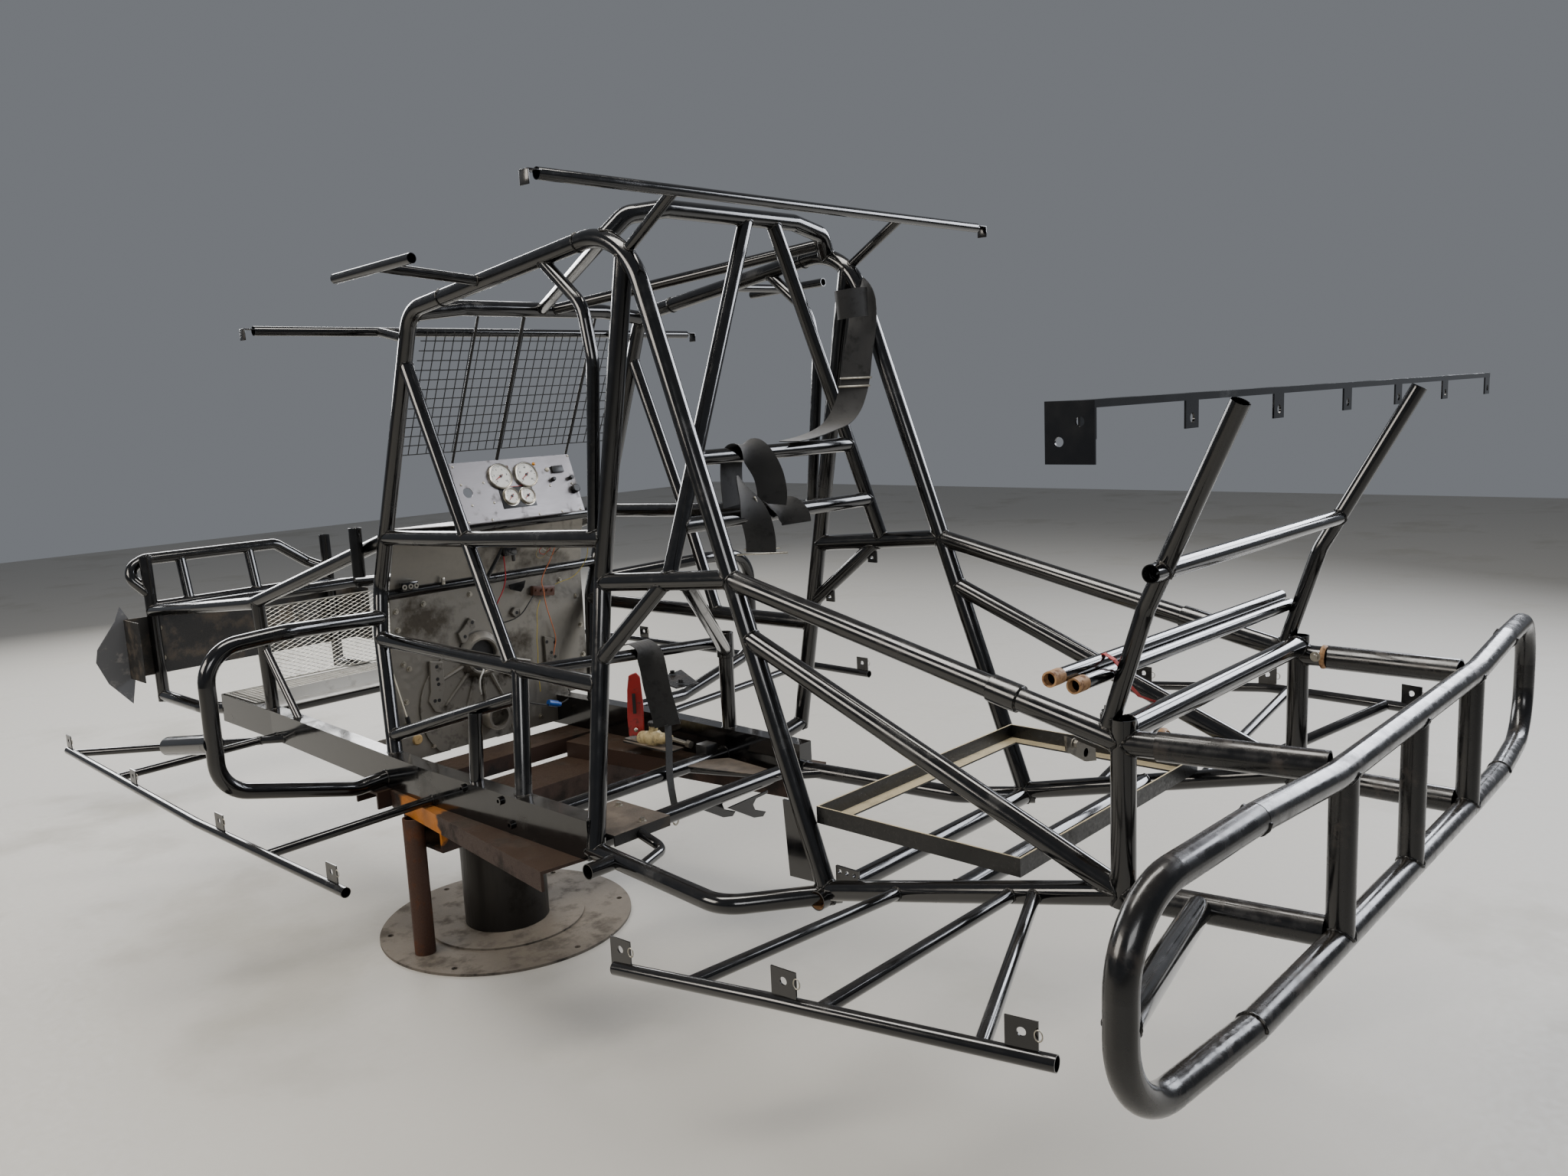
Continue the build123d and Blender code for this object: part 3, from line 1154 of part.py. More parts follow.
os.makedirs("parts", exist_ok=True)
for node, solids in pieces.items():
    export(node, solids)
for node, solids in {
    "frame_rails": frame_rails.part.solids(),
    "firewall": firewall.part.solids(),
    "dash_panel": dash_panel.part.solids(),
    "dash_gauges": dash_gauges.part.solids(),
    "windscreen_guard": windscreen_guard.part.solids(),
    "nose_sheet": nose_sheet.part.solids(),
    "nose_flap": nose_flap.part.solids(),
    "rock_screen": rock_screen.part.solids(),
    "screen_tray": screen_tray.part.solids(),
    "fuel_cell_cradle": fuel_cell_cradle.part.solids(),
    "deck_rail": deck_rail.part.solids(),
    "brackets": brackets.part.solids(),
    "rail_platform": rail_platform.part.solids(),
    "floor_lever": floor_lever.part.solids(),
    "harness_belts": harness_belts.part.solids(),
    "hanging_strap": hanging_strap.part.solids() + strap_loop.part.solids(),
    "lift_channels": channel_solids,
    "lift_cross_beam": lift_cross_beam.part.solids(),
    "lift_bolster": lift_bolster.part.solids(),
    "lift_columns": lift_ram.part.solids() + lift_leg.part.solids(),
    "lift_floor_collar": lift_floor_collar.part.solids(),
}.items():
    export(node, solids)
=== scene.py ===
"""The looks of a dirt-track stock car's bare chassis on its in-floor lift.

Lengths are metres in the row frame. Points are written as `at(x, y, h)` in millimetres of the
car: y from the front axle's side of the cage, h above the underside of the frame rails.
"""

import logging
import math
from dataclasses import dataclass, field
from enum import Enum
from typing import ClassVar, Iterable, Iterator, Optional, Sequence

import bmesh
import bpy
from mathutils import Matrix, Vector
from mathutils.bvhtree import BVHTree


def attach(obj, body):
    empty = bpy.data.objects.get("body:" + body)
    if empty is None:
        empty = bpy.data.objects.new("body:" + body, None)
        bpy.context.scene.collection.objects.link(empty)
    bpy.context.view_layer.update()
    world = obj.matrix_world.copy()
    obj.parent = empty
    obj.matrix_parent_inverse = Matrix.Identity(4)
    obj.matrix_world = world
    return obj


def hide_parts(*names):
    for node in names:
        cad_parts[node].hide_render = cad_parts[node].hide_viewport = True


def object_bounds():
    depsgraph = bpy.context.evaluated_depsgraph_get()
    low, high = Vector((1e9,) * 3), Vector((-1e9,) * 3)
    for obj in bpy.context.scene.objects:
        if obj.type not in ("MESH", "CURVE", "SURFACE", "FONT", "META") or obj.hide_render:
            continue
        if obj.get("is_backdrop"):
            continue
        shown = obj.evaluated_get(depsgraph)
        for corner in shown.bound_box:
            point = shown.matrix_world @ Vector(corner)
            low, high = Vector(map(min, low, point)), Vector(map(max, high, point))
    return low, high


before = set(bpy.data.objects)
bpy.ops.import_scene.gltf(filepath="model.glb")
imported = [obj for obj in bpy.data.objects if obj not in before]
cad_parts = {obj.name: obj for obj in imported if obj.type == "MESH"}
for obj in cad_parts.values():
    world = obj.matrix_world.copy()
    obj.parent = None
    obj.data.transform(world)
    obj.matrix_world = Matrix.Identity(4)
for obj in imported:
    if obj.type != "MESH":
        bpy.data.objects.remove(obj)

LOG = logging.getLogger("stock_car")

# The car's place in the row frame, in millimetres
RIDE = 470.0
FRONT_TO_CAGE = 350.0

# Inputs and output of a Mix node that mixes colours
MIX_FACTOR, MIX_A, MIX_B, MIX_OUT = 0, 6, 7, 2

UP = Vector((0.0, 0.0, 1.0))
LEFT = Vector((1.0, 0.0, 0.0))
REAR = Vector((0.0, 1.0, 0.0))
# Level, and square to the camera's sight line: what faces the photographer lies across it
VIEW_RIGHT = Vector((-0.675, 0.737, 0.0))

# Every finish's noise is moved off the frame's origin, where it would be symmetric
NOISE_SHIFT = (0.37, 0.11, 0.05)
# Settled dust gathers in drifts about 45 mm across
DRIFTS_PER_M = 22.0
COAT_ROUGHNESS = 0.08
# The wave texture turns this into ribs 2 mm apart, as coarse as they need to show
WEBBING_RIBS = 160.0

# A turned or lofted profile: the radius and the height of each corner
Profile = Sequence[tuple[float, float]]


def at(x: float, y: float, h: float) -> Vector:
    """A point of the car.

    Args:
        x: Millimetres to the left of the cage's middle plane.
        y: Millimetres to the rear.
        h: Millimetres above the underside of the frame rails.

    Returns:
        The point in the row frame, in metres.
    """
    return Vector((x, y - FRONT_TO_CAGE, h + RIDE)) / 1000.0


def path_of(*points: tuple[float, float, float]) -> tuple[Vector, ...]:
    """Points of the car, each given as x, y and h."""
    return tuple(at(*point) for point in points)


def mm(length: float) -> float:
    """Millimetres as metres."""
    return length / 1000.0


def run_length(points: Sequence[Vector]) -> float:
    """The length of a run of points."""
    return sum((b - a).length for a, b in zip(points, points[1:]))


def turns(count: int) -> Iterator[float]:
    """Evenly spaced angles of one full turn."""
    return (k * math.tau / count for k in range(count))


def rgb(hex_code: str) -> tuple[float, float, float, float]:
    """An sRGB hex code as the linear colour that a shader takes."""
    channels = (int(hex_code[i : i + 2], 16) / 255.0 for i in (1, 3, 5))
    linear = tuple(c / 12.92 if c <= 0.04045 else ((c + 0.055) / 1.055) ** 2.4 for c in channels)
    return (*linear, 1.0)


class Slot(Enum):
    """Material slots."""

    GLOSS_BLACK = "gloss_black"
    DUSTY_BLACK = "dusty_black"
    BRIGHT_ALUMINIUM = "bright_aluminium"
    STAINED_ALUMINIUM = "stained_aluminium"
    GAUGE_PLASTIC = "gauge_plastic"
    GREY_PLASTIC = "grey_plastic"
    BLACK_WEBBING = "black_webbing"
    RED_PAINT = "red_paint"
    RUSTY_STEEL = "rusty_steel"
    OILY_STEEL = "oily_steel"


def add_node(
    tree: bpy.types.NodeTree, kind: str, inputs: Optional[dict] = None, **settings: object
) -> bpy.types.Node:
    """Add a shader node, set its properties, and set or link its inputs.

    Args:
        tree: The node tree.
        kind: The node's type name.
        inputs: Socket name or index to a constant or to another node's output.
        **settings: Properties of the node.

    Returns:
        The node.
    """
    node = tree.nodes.new(kind)
    for key, value in settings.items():
        setattr(node, key, value)
    for key, value in (inputs or {}).items():
        if isinstance(value, bpy.types.NodeSocket):
            tree.links.new(value, node.inputs[key])
        else:
            node.inputs[key].default_value = value
    return node


@dataclass(frozen=True)
class Finish:
    """A surface of one colour with patches of another, a fine grain and settled dust.

    Attributes:
        name: The real material and how it was made.
        base: Colour of the clean surface.
        patch: Colour of the stained or scuffed patches.
        patch_mm: Size of a patch.
        share: How much of the surface the patches cover, 0 to 1.
        rough: Roughness of the smoothest and of the roughest spots.
        grain_mm: Size of the grain.
        grain_depth_mm: Height of the grain.
        metallic: 1 for bare metal, else 0.
        coat: Weight of a clear or enamel coat.
        dust: Colour of the dust on faces that look up.
        dust_share: How much dust lies there, 0 to 1.
        stretch: Scale of the grain along X, Y and Z, for brushed or streaked surfaces.
        spot: Middle and radius in metres of a painted or burnt spot, if there is one.
        spot_colour: Colour of that spot.
    """

    name: str
    base: str
    patch: str
    patch_mm: float = 120.0
    share: float = 0.35
    rough: tuple[float, float] = (0.3, 0.5)
    grain_mm: float = 3.0
    grain_depth_mm: float = 0.1
    metallic: float = 0.0
    coat: float = 0.0
    dust: str = "#6e6558"
    dust_share: float = 0.2
    stretch: tuple[float, float, float] = (1.0, 1.0, 1.0)
    spot: Optional[tuple[tuple[float, float, float], float]] = None
    spot_colour: str = "#c98a2b"

    def build(self) -> bpy.types.Material:
        """Make the material, or return the one that was made before."""
        known = bpy.data.materials.get(self.name)
        if known is not None:
            return known
        material = bpy.data.materials.new(self.name)
        material.use_nodes = True
        tree = material.node_tree
        tree.nodes.clear()
        coords = add_node(tree, "ShaderNodeTexCoord")
        colour, patches = self.colour(tree, coords)
        streaks = add_node(
            tree, "ShaderNodeMapping", {"Vector": coords.outputs["Object"], "Scale": self.stretch}
        )
        grain = add_node(
            tree,
            "ShaderNodeTexNoise",
            {"Vector": streaks.outputs[0], "Scale": 1000.0 / self.grain_mm, "Detail": 3.0},
        )
        roughness = add_node(
            tree,
            "ShaderNodeMapRange",
            {"Value": grain.outputs[0], 1: 0.3, 2: 0.7, 3: self.rough[0], 4: self.rough[1]},
        )
        duller = add_node(
            tree,
            "ShaderNodeMath",
            {0: patches, 1: 0.25, 2: roughness.outputs[0]},
            operation="MULTIPLY_ADD",
        )
        relief = add_node(
            tree,
            "ShaderNodeBump",
            {"Height": grain.outputs[0], "Distance": mm(self.grain_depth_mm), "Strength": 0.6},
        )
        shader = add_node(
            tree,
            "ShaderNodeBsdfPrincipled",
            {
                "Base Color": colour,
                "Metallic": self.metallic,
                "Roughness": duller.outputs[0],
                "Coat Weight": self.coat,
                "Coat Roughness": COAT_ROUGHNESS,
                "Normal": relief.outputs[0],
            },
        )
        add_node(tree, "ShaderNodeOutputMaterial", {"Surface": shader.outputs[0]})
        return material

    def colour(
        self, tree: bpy.types.NodeTree, coords: bpy.types.Node
    ) -> tuple[bpy.types.NodeSocket, bpy.types.NodeSocket]:
        """Mix the base, patches, spot and dust.

        Args:
            tree: The material's node tree.
            coords: Its Texture Coordinate node.

        Returns:
            The colour socket and the socket that says where patches lie.
        """
        moved = add_node(
            tree, "ShaderNodeMapping", {"Vector": coords.outputs["Object"], "Location": NOISE_SHIFT}
        )
        patch_noise = {"Scale": 1000.0 / self.patch_mm, "Detail": 6.0, "Roughness": 0.62}
        cloud = add_node(tree, "ShaderNodeTexNoise", {"Vector": moved.outputs[0], **patch_noise})
        # Noise lies between about 0.3 and 0.7, so a share of 0 to 1 cuts it between 0.68 and 0.32
        edge = 0.68 - 0.36 * self.share
        patches = add_node(
            tree, "ShaderNodeMapRange", {"Value": cloud.outputs[0], 1: edge, 2: edge + 0.14}
        ).outputs[0]
        mixed = add_node(
            tree,
            "ShaderNodeMix",
            {MIX_FACTOR: patches, MIX_A: rgb(self.base), MIX_B: rgb(self.patch)},
            data_type="RGBA",
        ).outputs[MIX_OUT]
        if self.spot is not None:
            away = add_node(
                tree,
                "ShaderNodeVectorMath",
                {0: coords.outputs["Object"], 1: self.spot[0]},
                operation="DISTANCE",
            )
            ragged = add_node(
                tree,
                "ShaderNodeMath",
                {0: cloud.outputs[0], 1: -1.2 * self.spot[1], 2: away.outputs["Value"]},
                operation="MULTIPLY_ADD",
            )
            inside = add_node(
                tree,
                "ShaderNodeMapRange",
                {"Value": ragged.outputs[0], 1: 0.42 * self.spot[1], 2: 0.3 * self.spot[1]},
            )
            mixed = add_node(
                tree,
                "ShaderNodeMix",
                {MIX_FACTOR: inside.outputs[0], MIX_A: mixed, MIX_B: rgb(self.spot_colour)},
                data_type="RGBA",
            ).outputs[MIX_OUT]
        facing = add_node(tree, "ShaderNodeSeparateXYZ", {0: coords.outputs["Normal"]})
        # Dust starts to stay where a face leans back by more than about 57 degrees
        settled = add_node(
            tree,
            "ShaderNodeMapRange",
            {"Value": facing.outputs["Z"], 1: 0.55, 2: 1.0, 4: self.dust_share},
        )
        drift_noise = {"Scale": DRIFTS_PER_M, "Detail": 8.0, "Roughness": 0.7}
        drift = add_node(tree, "ShaderNodeTexNoise", {"Vector": moved.outputs[0], **drift_noise})
        lying = add_node(
            tree, "ShaderNodeMath", {0: settled.outputs[0], 1: drift.outputs[0]}, operation="MULTIPLY"
        )
        dusted = add_node(
            tree,
            "ShaderNodeMix",
            {MIX_FACTOR: lying.outputs[0], MIX_A: mixed, MIX_B: rgb(self.dust)},
            data_type="RGBA",
        )
        return dusted.outputs[MIX_OUT], patches


@dataclass(frozen=True)
class Webbing(Finish):
    """Woven nylon: ribs across the strap over a matte, slightly furry body."""

    def build(self) -> bpy.types.Material:
        """Add the weave's ribs to the plain finish."""
        known = bpy.data.materials.get(self.name)
        if known is not None:
            return known
        material = super().build()
        tree = material.node_tree
        coords = add_node(tree, "ShaderNodeTexCoord")
        ribs = add_node(
            tree,
            "ShaderNodeTexWave",
            {"Vector": coords.outputs["Object"], "Scale": WEBBING_RIBS, "Distortion": 0.4},
            bands_direction="Z",
        )
        shader = next(n for n in tree.nodes if n.bl_idname == "ShaderNodeBsdfPrincipled")
        weave = add_node(
            tree,
            "ShaderNodeBump",
            {"Height": ribs.outputs["Fac"], "Distance": 0.0004, "Strength": 0.8},
        )
        tree.links.new(weave.outputs[0], shader.inputs["Normal"])
        shader.inputs["Sheen Weight"].default_value = 0.3
        return material


# Enamel brushed on the welded tubes: deep black, a clear shine, scuffs and workshop dust.
# Brush marks are under 1 mm and are drawn 30 mm long, so that they show as a soft waviness
BLACK_ENAMEL = Finish(
    "Black enamel on welded steel tube",
    "#050506",
    "#0f0e0d",
    patch_mm=160,
    share=0.3,
    rough=(0.10, 0.2),
    grain_mm=30,
    grain_depth_mm=0.05,
    coat=0.5,
    dust="#5a5248",
    dust_share=0.14,
)
# The bumper has been leaned on: more scuffs through to primer, and some rust
WORN_ENAMEL = Finish(
    "Black enamel on bumper tube, scuffed by contact",
    "#070708",
    "#2d2621",
    patch_mm=60,
    share=0.3,
    rough=(0.15, 0.34),
    grain_mm=22,
    grain_depth_mm=0.06,
    coat=0.3,
    dust="#6a5f52",
    dust_share=0.2,
)
# Sheet and angle iron under a coat of track dirt, so they hardly shine
DUSTY_PAINT = Finish(
    "Black paint on folded sheet under track dust",
    "#141312",
    "#40382f",
    patch_mm=90,
    share=0.5,
    rough=(0.45, 0.75),
    grain_mm=2.5,
    grain_depth_mm=0.2,
    dust="#85786a",
    dust_share=0.9,
)
# Brushed along X at the mill: long fine streaks and a soft wide highlight
BRUSHED_ALUMINIUM = Finish(
    "Aluminium sheet brushed at the mill",
    "#7f7c7c",
    "#5f5c5a",
    patch_mm=60,
    share=0.3,
    rough=(0.3, 0.5),
    grain_mm=1.2,
    grain_depth_mm=0.02,
    metallic=1.0,
    dust_share=0.15,
    stretch=(0.04, 1.0, 1.0),
)
# The same stock behind the engine, greyed by oil and heat
STAINED_ALUMINIUM = Finish(
    "Aluminium sheet stained by oil and heat",
    "#86827a",
    "#4c463d",
    patch_mm=170,
    share=0.42,
    rough=(0.3, 0.5),
    grain_mm=14,
    grain_depth_mm=0.05,
    metallic=0.8,
    dust_share=0.3,
)
# Thin wire under black paint, worn grey where it crosses
SCREEN_WIRE = Finish(
    "Welded wire screen, painted black and worn",
    "#0a0a0b",
    "#232120",
    patch_mm=25,
    share=0.3,
    rough=(0.3, 0.5),
    grain_mm=2,
    grain_depth_mm=0.02,
)
# Expanded sheet is slit and pulled, which leaves bright burnished strands
EXPANDED_METAL = Finish(
    "Expanded aluminium sheet, slit and pulled",
    "#b5b3ac",
    "#8b857a",
    patch_mm=40,
    share=0.4,
    rough=(0.3, 0.5),
    grain_mm=2,
    grain_depth_mm=0.05,
    metallic=0.9,
)
# Plated parts keep a slightly warm, bright skin
ZINC_PLATE = Finish(
    "Zinc plated steel fastener",
    "#b3aea2",
    "#7d756a",
    patch_mm=8,
    share=0.35,
    rough=(0.22, 0.42),
    grain_mm=1,
    grain_depth_mm=0.03,
    metallic=1.0,
)
# Beads lie under the enamel: black between their ripples and worn grey on top
WELD_METAL = Finish(
    "Steel weld bead laid by hand under thin enamel",
    "#0c0c0c",
    "#57524c",
    patch_mm=9,
    share=0.34,
    rough=(0.16, 0.36),
    grain_mm=2,
    grain_depth_mm=0.1,
    metallic=0.3,
)
# Flexible lawn-edging sheet: grey, scuffed white along its folds
GREY_FLAP = Finish(
    "Grey flexible plastic sheet, scuffed",
    "#4b4c4f",
    "#777472",
    patch_mm=45,
    share=0.35,
    rough=(0.4, 0.62),
    grain_mm=3,
    grain_depth_mm=0.15,
)
# Nylon webbing keeps a matte body; only the ribs catch light
BLACK_WEBBING = Webbing(
    "Black nylon webbing, woven",
    "#060607",
    "#0d0d0d",
    patch_mm=30,
    share=0.4,
    rough=(0.6, 0.8),
    grain_mm=1,
    grain_depth_mm=0.1,
    dust_share=0.15,
)
# Worn red paint with bare edges on the lever
RED_PAINT = Finish(
    "Red paint on a steel lever, worn",
    "#8e1512",
    "#4d1a14",
    patch_mm=18,
    share=0.4,
    rough=(0.3, 0.5),
    grain_mm=2,
    grain_depth_mm=0.08,
    coat=0.2,
)
# Rolled channel: mill scale gone brown, with a patch of old orange and yellow paint
RUSTY_CHANNEL = Finish(
    "Hot rolled steel channel, rusted brown",
    "#33221a",
    "#1a130f",
    patch_mm=110,
    share=0.5,
    rough=(0.38, 0.66),
    grain_mm=2.5,
    grain_depth_mm=0.2,
    metallic=0.35,
    dust="#5c4d3d",
    dust_share=0.5,
    spot=(tuple(at(612, 178, -22)), 0.12),
    spot_colour="#a8661c",
)
# The ram's stub: ground steel under old oil, so it is dark and half glossy
OILY_STEEL = Finish(
    "Ground steel ram filmed with old oil",
    "#2d2b29",
    "#1a1512",
    patch_mm=150,
    share=0.45,
    rough=(0.28, 0.5),
    grain_mm=6,
    grain_depth_mm=0.05,
    metallic=0.7,
    stretch=(1.0, 1.0, 0.08),
    dust_share=0.5,
)
# The leg is a plain pipe that has rusted evenly
RUSTY_PIPE = Finish(
    "Steel pipe, evenly rusted",
    "#3b2316",
    "#55321c",
    patch_mm=60,
    share=0.4,
    rough=(0.5, 0.75),
    grain_mm=2,
    grain_depth_mm=0.15,
    metallic=0.2,
    stretch=(1.0, 1.0, 0.3),
)
# Small printed and moulded parts: clean plain colours, a little duller than new
GAUGE_FACE = Finish(
    "White printed gauge face",
    "#d9d7cf",
    "#c9c6bb",
    patch_mm=20,
    rough=(0.35, 0.5),
    grain_depth_mm=0.01,
)
# Black print and moulded plastic; the same black is also painted shade in the bracket bolt holes, the crank
# bore and the lever's slot
BLACK_INK_AND_SHADE = Finish(
    "Black ink and moulded black plastic, also painted shade", "#0d0d0e", "#1a1a1a", patch_mm=15, rough=(0.35, 0.5)
)
NEEDLE_RED = Finish("Red moulded plastic", "#a01414", "#7a1010", patch_mm=10, rough=(0.3, 0.45))
AMBER_LENS = Finish("Amber moulded lens", "#d08a1c", "#b36c10", patch_mm=6, rough=(0.1, 0.2), coat=0.8)
BROWN_LENS = Finish("Brown moulded lens", "#5a2f16", "#45220f", patch_mm=6, rough=(0.1, 0.2), coat=0.8)
WHITE_PLASTIC = Finish(
    "White moulded plastic, yellowed", "#cfc9b8", "#b0a893", patch_mm=25, rough=(0.35, 0.55)
)
TAN_PLASTIC = Finish("Tan moulded plug", "#a58a5a", "#8a7046", patch_mm=12, rough=(0.45, 0.6))
BLUE_PLASTIC = Finish("Blue moulded connector", "#1d4f9a", "#173f78", patch_mm=10, rough=(0.3, 0.45))
# A blasted casting is an even dull grey that goes dark where oil has run
CAST_IRON = Finish(
    "Cast bell housing, bead blasted",
    "#7b776f",
    "#413c35",
    patch_mm=60,
    share=0.42,
    rough=(0.36, 0.6),
    grain_mm=2,
    grain_depth_mm=0.12,
    metallic=0.75,
)
# The flange lies under years of grit and oil, so it looks like the floor round it
GRITTY_FLANGE = Finish(
    "Steel floor flange under grit and oil",
    "#5d564d",
    "#2e2a26",
    patch_mm=80,
    share=0.5,
    rough=(0.6, 0.85),
    grain_mm=2.2,
    grain_depth_mm=0.5,
    dust="#8a7f70",
    dust_share=0.5,
)
# Black on its sides, with pale dust thick on the ledge that looks up
CRADLE_PAINT = Finish(
    "Angle iron in black paint, pale dust on its ledge",
    "#080808",
    "#1d1a17",
    patch_mm=75,
    share=0.3,
    rough=(0.25, 0.5),
    grain_mm=6,
    grain_depth_mm=0.05,
    dust="#b8aa8a",
    dust_share=2.0,
)
# The tray looks up and is never wiped, so it is paler and duller than the dash
TRAY_ALUMINIUM = Finish(
    "Aluminium tray between dash and screen, dull",
    "#c2c1bd",
    "#9a9791",
    patch_mm=90,
    share=0.3,
    rough=(0.4, 0.6),
    grain_mm=3,
    grain_depth_mm=0.03,
    metallic=0.35,
)
# A cream anodised joint with brown grime in its grooves
CREAM_CASTING = Finish(
    "Cream anodised joint, grimy",
    "#b7a67c",
    "#6f6148",
    patch_mm=16,
    share=0.45,
    rough=(0.35, 0.6),
    metallic=0.2,
)
# Steel that was never painted at its cut ends rusts to a light tan first
BARE_CUT = Finish(
    "Bare steel at a saw cut, rusted tan",
    "#a07a52",
    "#6b482c",
    patch_mm=12,
    share=0.5,
    rough=(0.5, 0.7),
)
RED_CORD = Finish("Red nylon tie cord", "#a5231c", "#6d1a15", patch_mm=10, rough=(0.5, 0.7))
# An even matte floor that takes soft shadows
PALE_FLOOR = Finish(
    "Pale sealed studio floor",
    "#b5b2ab",
    "#adaaa2",
    patch_mm=900,
    share=0.4,
    rough=(0.5, 0.62),
    grain_mm=20,
    grain_depth_mm=0.02,
    dust="#b5b2ab",
    dust_share=0.0,
)

NODE_FINISH: dict[str, Finish] = {
    "bumper_runs": WORN_ENAMEL,
    "bumper_ends": WORN_ENAMEL,
    "bumper_uprights": WORN_ENAMEL,
    "bumper_arms": WORN_ENAMEL,
    "nose_sheet": DUSTY_PAINT,
    "fuel_cell_cradle": CRADLE_PAINT,
    "rail_platform": DUSTY_PAINT,
    "dash_panel": BRUSHED_ALUMINIUM,
    "screen_tray": TRAY_ALUMINIUM,
    "rock_screen": EXPANDED_METAL,
    "firewall": STAINED_ALUMINIUM,
    "dash_gauges": BLACK_INK_AND_SHADE,
    "nose_flap": GREY_FLAP,
    "harness_belts": BLACK_WEBBING,
    "hanging_strap": BLACK_WEBBING,
    "floor_lever": RED_PAINT,
    "lift_channels": RUSTY_CHANNEL,
    "lift_cross_beam": RUSTY_CHANNEL,
    "lift_bolster": RUSTY_CHANNEL,
    "lift_columns": OILY_STEEL,
    "lift_floor_collar": GRITTY_FLANGE,
}


def edges_at(corners: Sequence[bmesh.types.BMVert]) -> list[bmesh.types.BMEdge]:
    """The edges that meet at the corners, each once and in the same order every run."""
    return list(dict.fromkeys(edge for corner in corners for edge in corner.link_edges))


@dataclass
class Piece:
    """A mesh under construction, then one object of the scene.

    Attributes:
        name: The object's name.
        finish: Its material.
        slot: A material slot; not used.
        smooth: Faces that meet at less than this angle, in degrees, shade as one.
    """

    name: str
    finish: Finish
    slot: Slot = Slot.GLOSS_BLACK
    smooth: float = 35.0
    bm: bmesh.types.BMesh = field(default_factory=bmesh.new)

    def rod(self, start: Vector, end: Vector, radius: float, sides: int = 10, tip: float = 1.0) -> None:
        """Add a round bar between two points.

        Args:
            start: The middle of its near end.
            end: The middle of its far end.
            radius: The near end's radius.
            sides: Facets around it.
            tip: The far end's radius as a share of the near end's.
        """
        run = end - start
        turn = run.to_track_quat("Z", "Y").to_matrix().to_4x4()
        middle = Matrix.Translation((start + end) / 2)
        bmesh.ops.create_cone(
            self.bm,
            cap_ends=True,
            segments=sides,
            radius1=radius,
            radius2=radius * tip,
            depth=run.length,
            matrix=middle @ turn,
        )

    def block(
        self,
        centre: Vector,
        size: Sequence[float],
        axes: Optional[Matrix] = None,
        edge: float = 0.0,
    ) -> None:
        """Add a box with rounded edges.

        Args:
            centre: Its middle.
            size: Its lengths along its own axes.
            axes: Its own axes, or none for the frame's.
            edge: The radius of its edges.
        """
        turn = axes.to_4x4() if axes is not None else Matrix.Identity(4)
        form = Matrix.Translation(centre) @ turn @ Matrix.Diagonal((*size, 1.0))
        made = bmesh.ops.create_cube(self.bm, size=1.0, matrix=form)
        if edge:
            edges = edges_at(made["verts"])
            bmesh.ops.bevel(
                self.bm, geom=edges, offset=edge, segments=2, affect="EDGES", profile=0.5, material=-1
            )

    def plate(self, outline: Sequence[Vector], thickness: float, edge: float = 0.0006) -> None:
        """Add a flat plate that grows from its outline along the outline's normal.

        Args:
            outline: The corners of one face.
            thickness: How thick it is.
            edge: The bevel along its edges.
        """
        verts = [self.bm.verts.new(p) for p in outline]
        face = self.bm.faces.new(verts)
        face.normal_update()
        normal = face.normal.copy()
        grown = bmesh.ops.extrude_face_region(self.bm, geom=[face])["geom"]
        moved = [g for g in grown if isinstance(g, bmesh.types.BMVert)]
        bmesh.ops.translate(self.bm, vec=normal * thickness, verts=moved)
        if edge:
            rim = edges_at(moved + verts)
            bmesh.ops.bevel(
                self.bm, geom=rim, offset=edge, segments=1, affect="EDGES", profile=0.5, material=-1
            )

    def turned(self, centre: Vector, axis: Vector, profile: Profile, steps: int = 40) -> None:
        """Add a turned part.

        Args:
            centre: The foot of its axis.
            axis: The direction of its axis.
            profile: Radius and height of each corner of its outline.
            steps: Facets around it.
        """
        axis = axis.normalized()
        side = axis.orthogonal().normalized()
        verts = [self.bm.verts.new(centre + side * r + axis * z) for r, z in profile]
        edges = [self.bm.edges.new(pair) for pair in zip(verts, verts[1:])]
        bmesh.ops.spin(
            self.bm,
            geom=verts + edges,
            cent=centre,
            axis=axis,
            angle=math.tau,
            steps=steps,
            use_merge=True,
        )

    def ribbon(self, path: Sequence[Vector], width: float, thickness: float, across: Vector) -> None:
        """Add a flat strip along a path.

        Args:
            path: The points along its middle.
            width: How wide it is.
            thickness: How thick it is.
            across: The direction of its width.
        """
        half = across.normalized() * width / 2
        rows = []
        for i, point in enumerate(path):
            ahead = path[min(i + 1, len(path) - 1)] - path[max(i - 1, 0)]
            lift = half.cross(ahead).normalized() * thickness / 2
            corners = [point + half * s + lift * t for s, t in ((-1, -1), (1, -1), (1, 1), (-1, 1))]
            rows.append([self.bm.verts.new(corner) for corner in corners])
        for near, far in zip(rows, rows[1:]):
            for k in range(4):
                self.bm.faces.new((near[k], near[(k + 1) % 4], far[(k + 1) % 4], far[k]))
        self.bm.faces.new(rows[0])
        self.bm.faces.new(list(reversed(rows[-1])))

    def done(self, *replaced: str) -> bpy.types.Object:
        """Turn the mesh into an object that rides on the frame.

        Args:
            *replaced: CAD nodes that it stands for.

        Returns:
            The object.
        """
        bmesh.ops.remove_doubles(self.bm, verts=self.bm.verts, dist=1e-6)
        bmesh.ops.recalc_face_normals(self.bm, faces=self.bm.faces)
        mesh = bpy.data.meshes.new(self.name)
        self.bm.to_mesh(mesh)
        self.bm.free()
        mesh.shade_smooth()
        mesh.set_sharp_from_angle(angle=math.radians(self.smooth))
        return place(bpy.data.objects.new(self.name, mesh), self.finish, replaced)


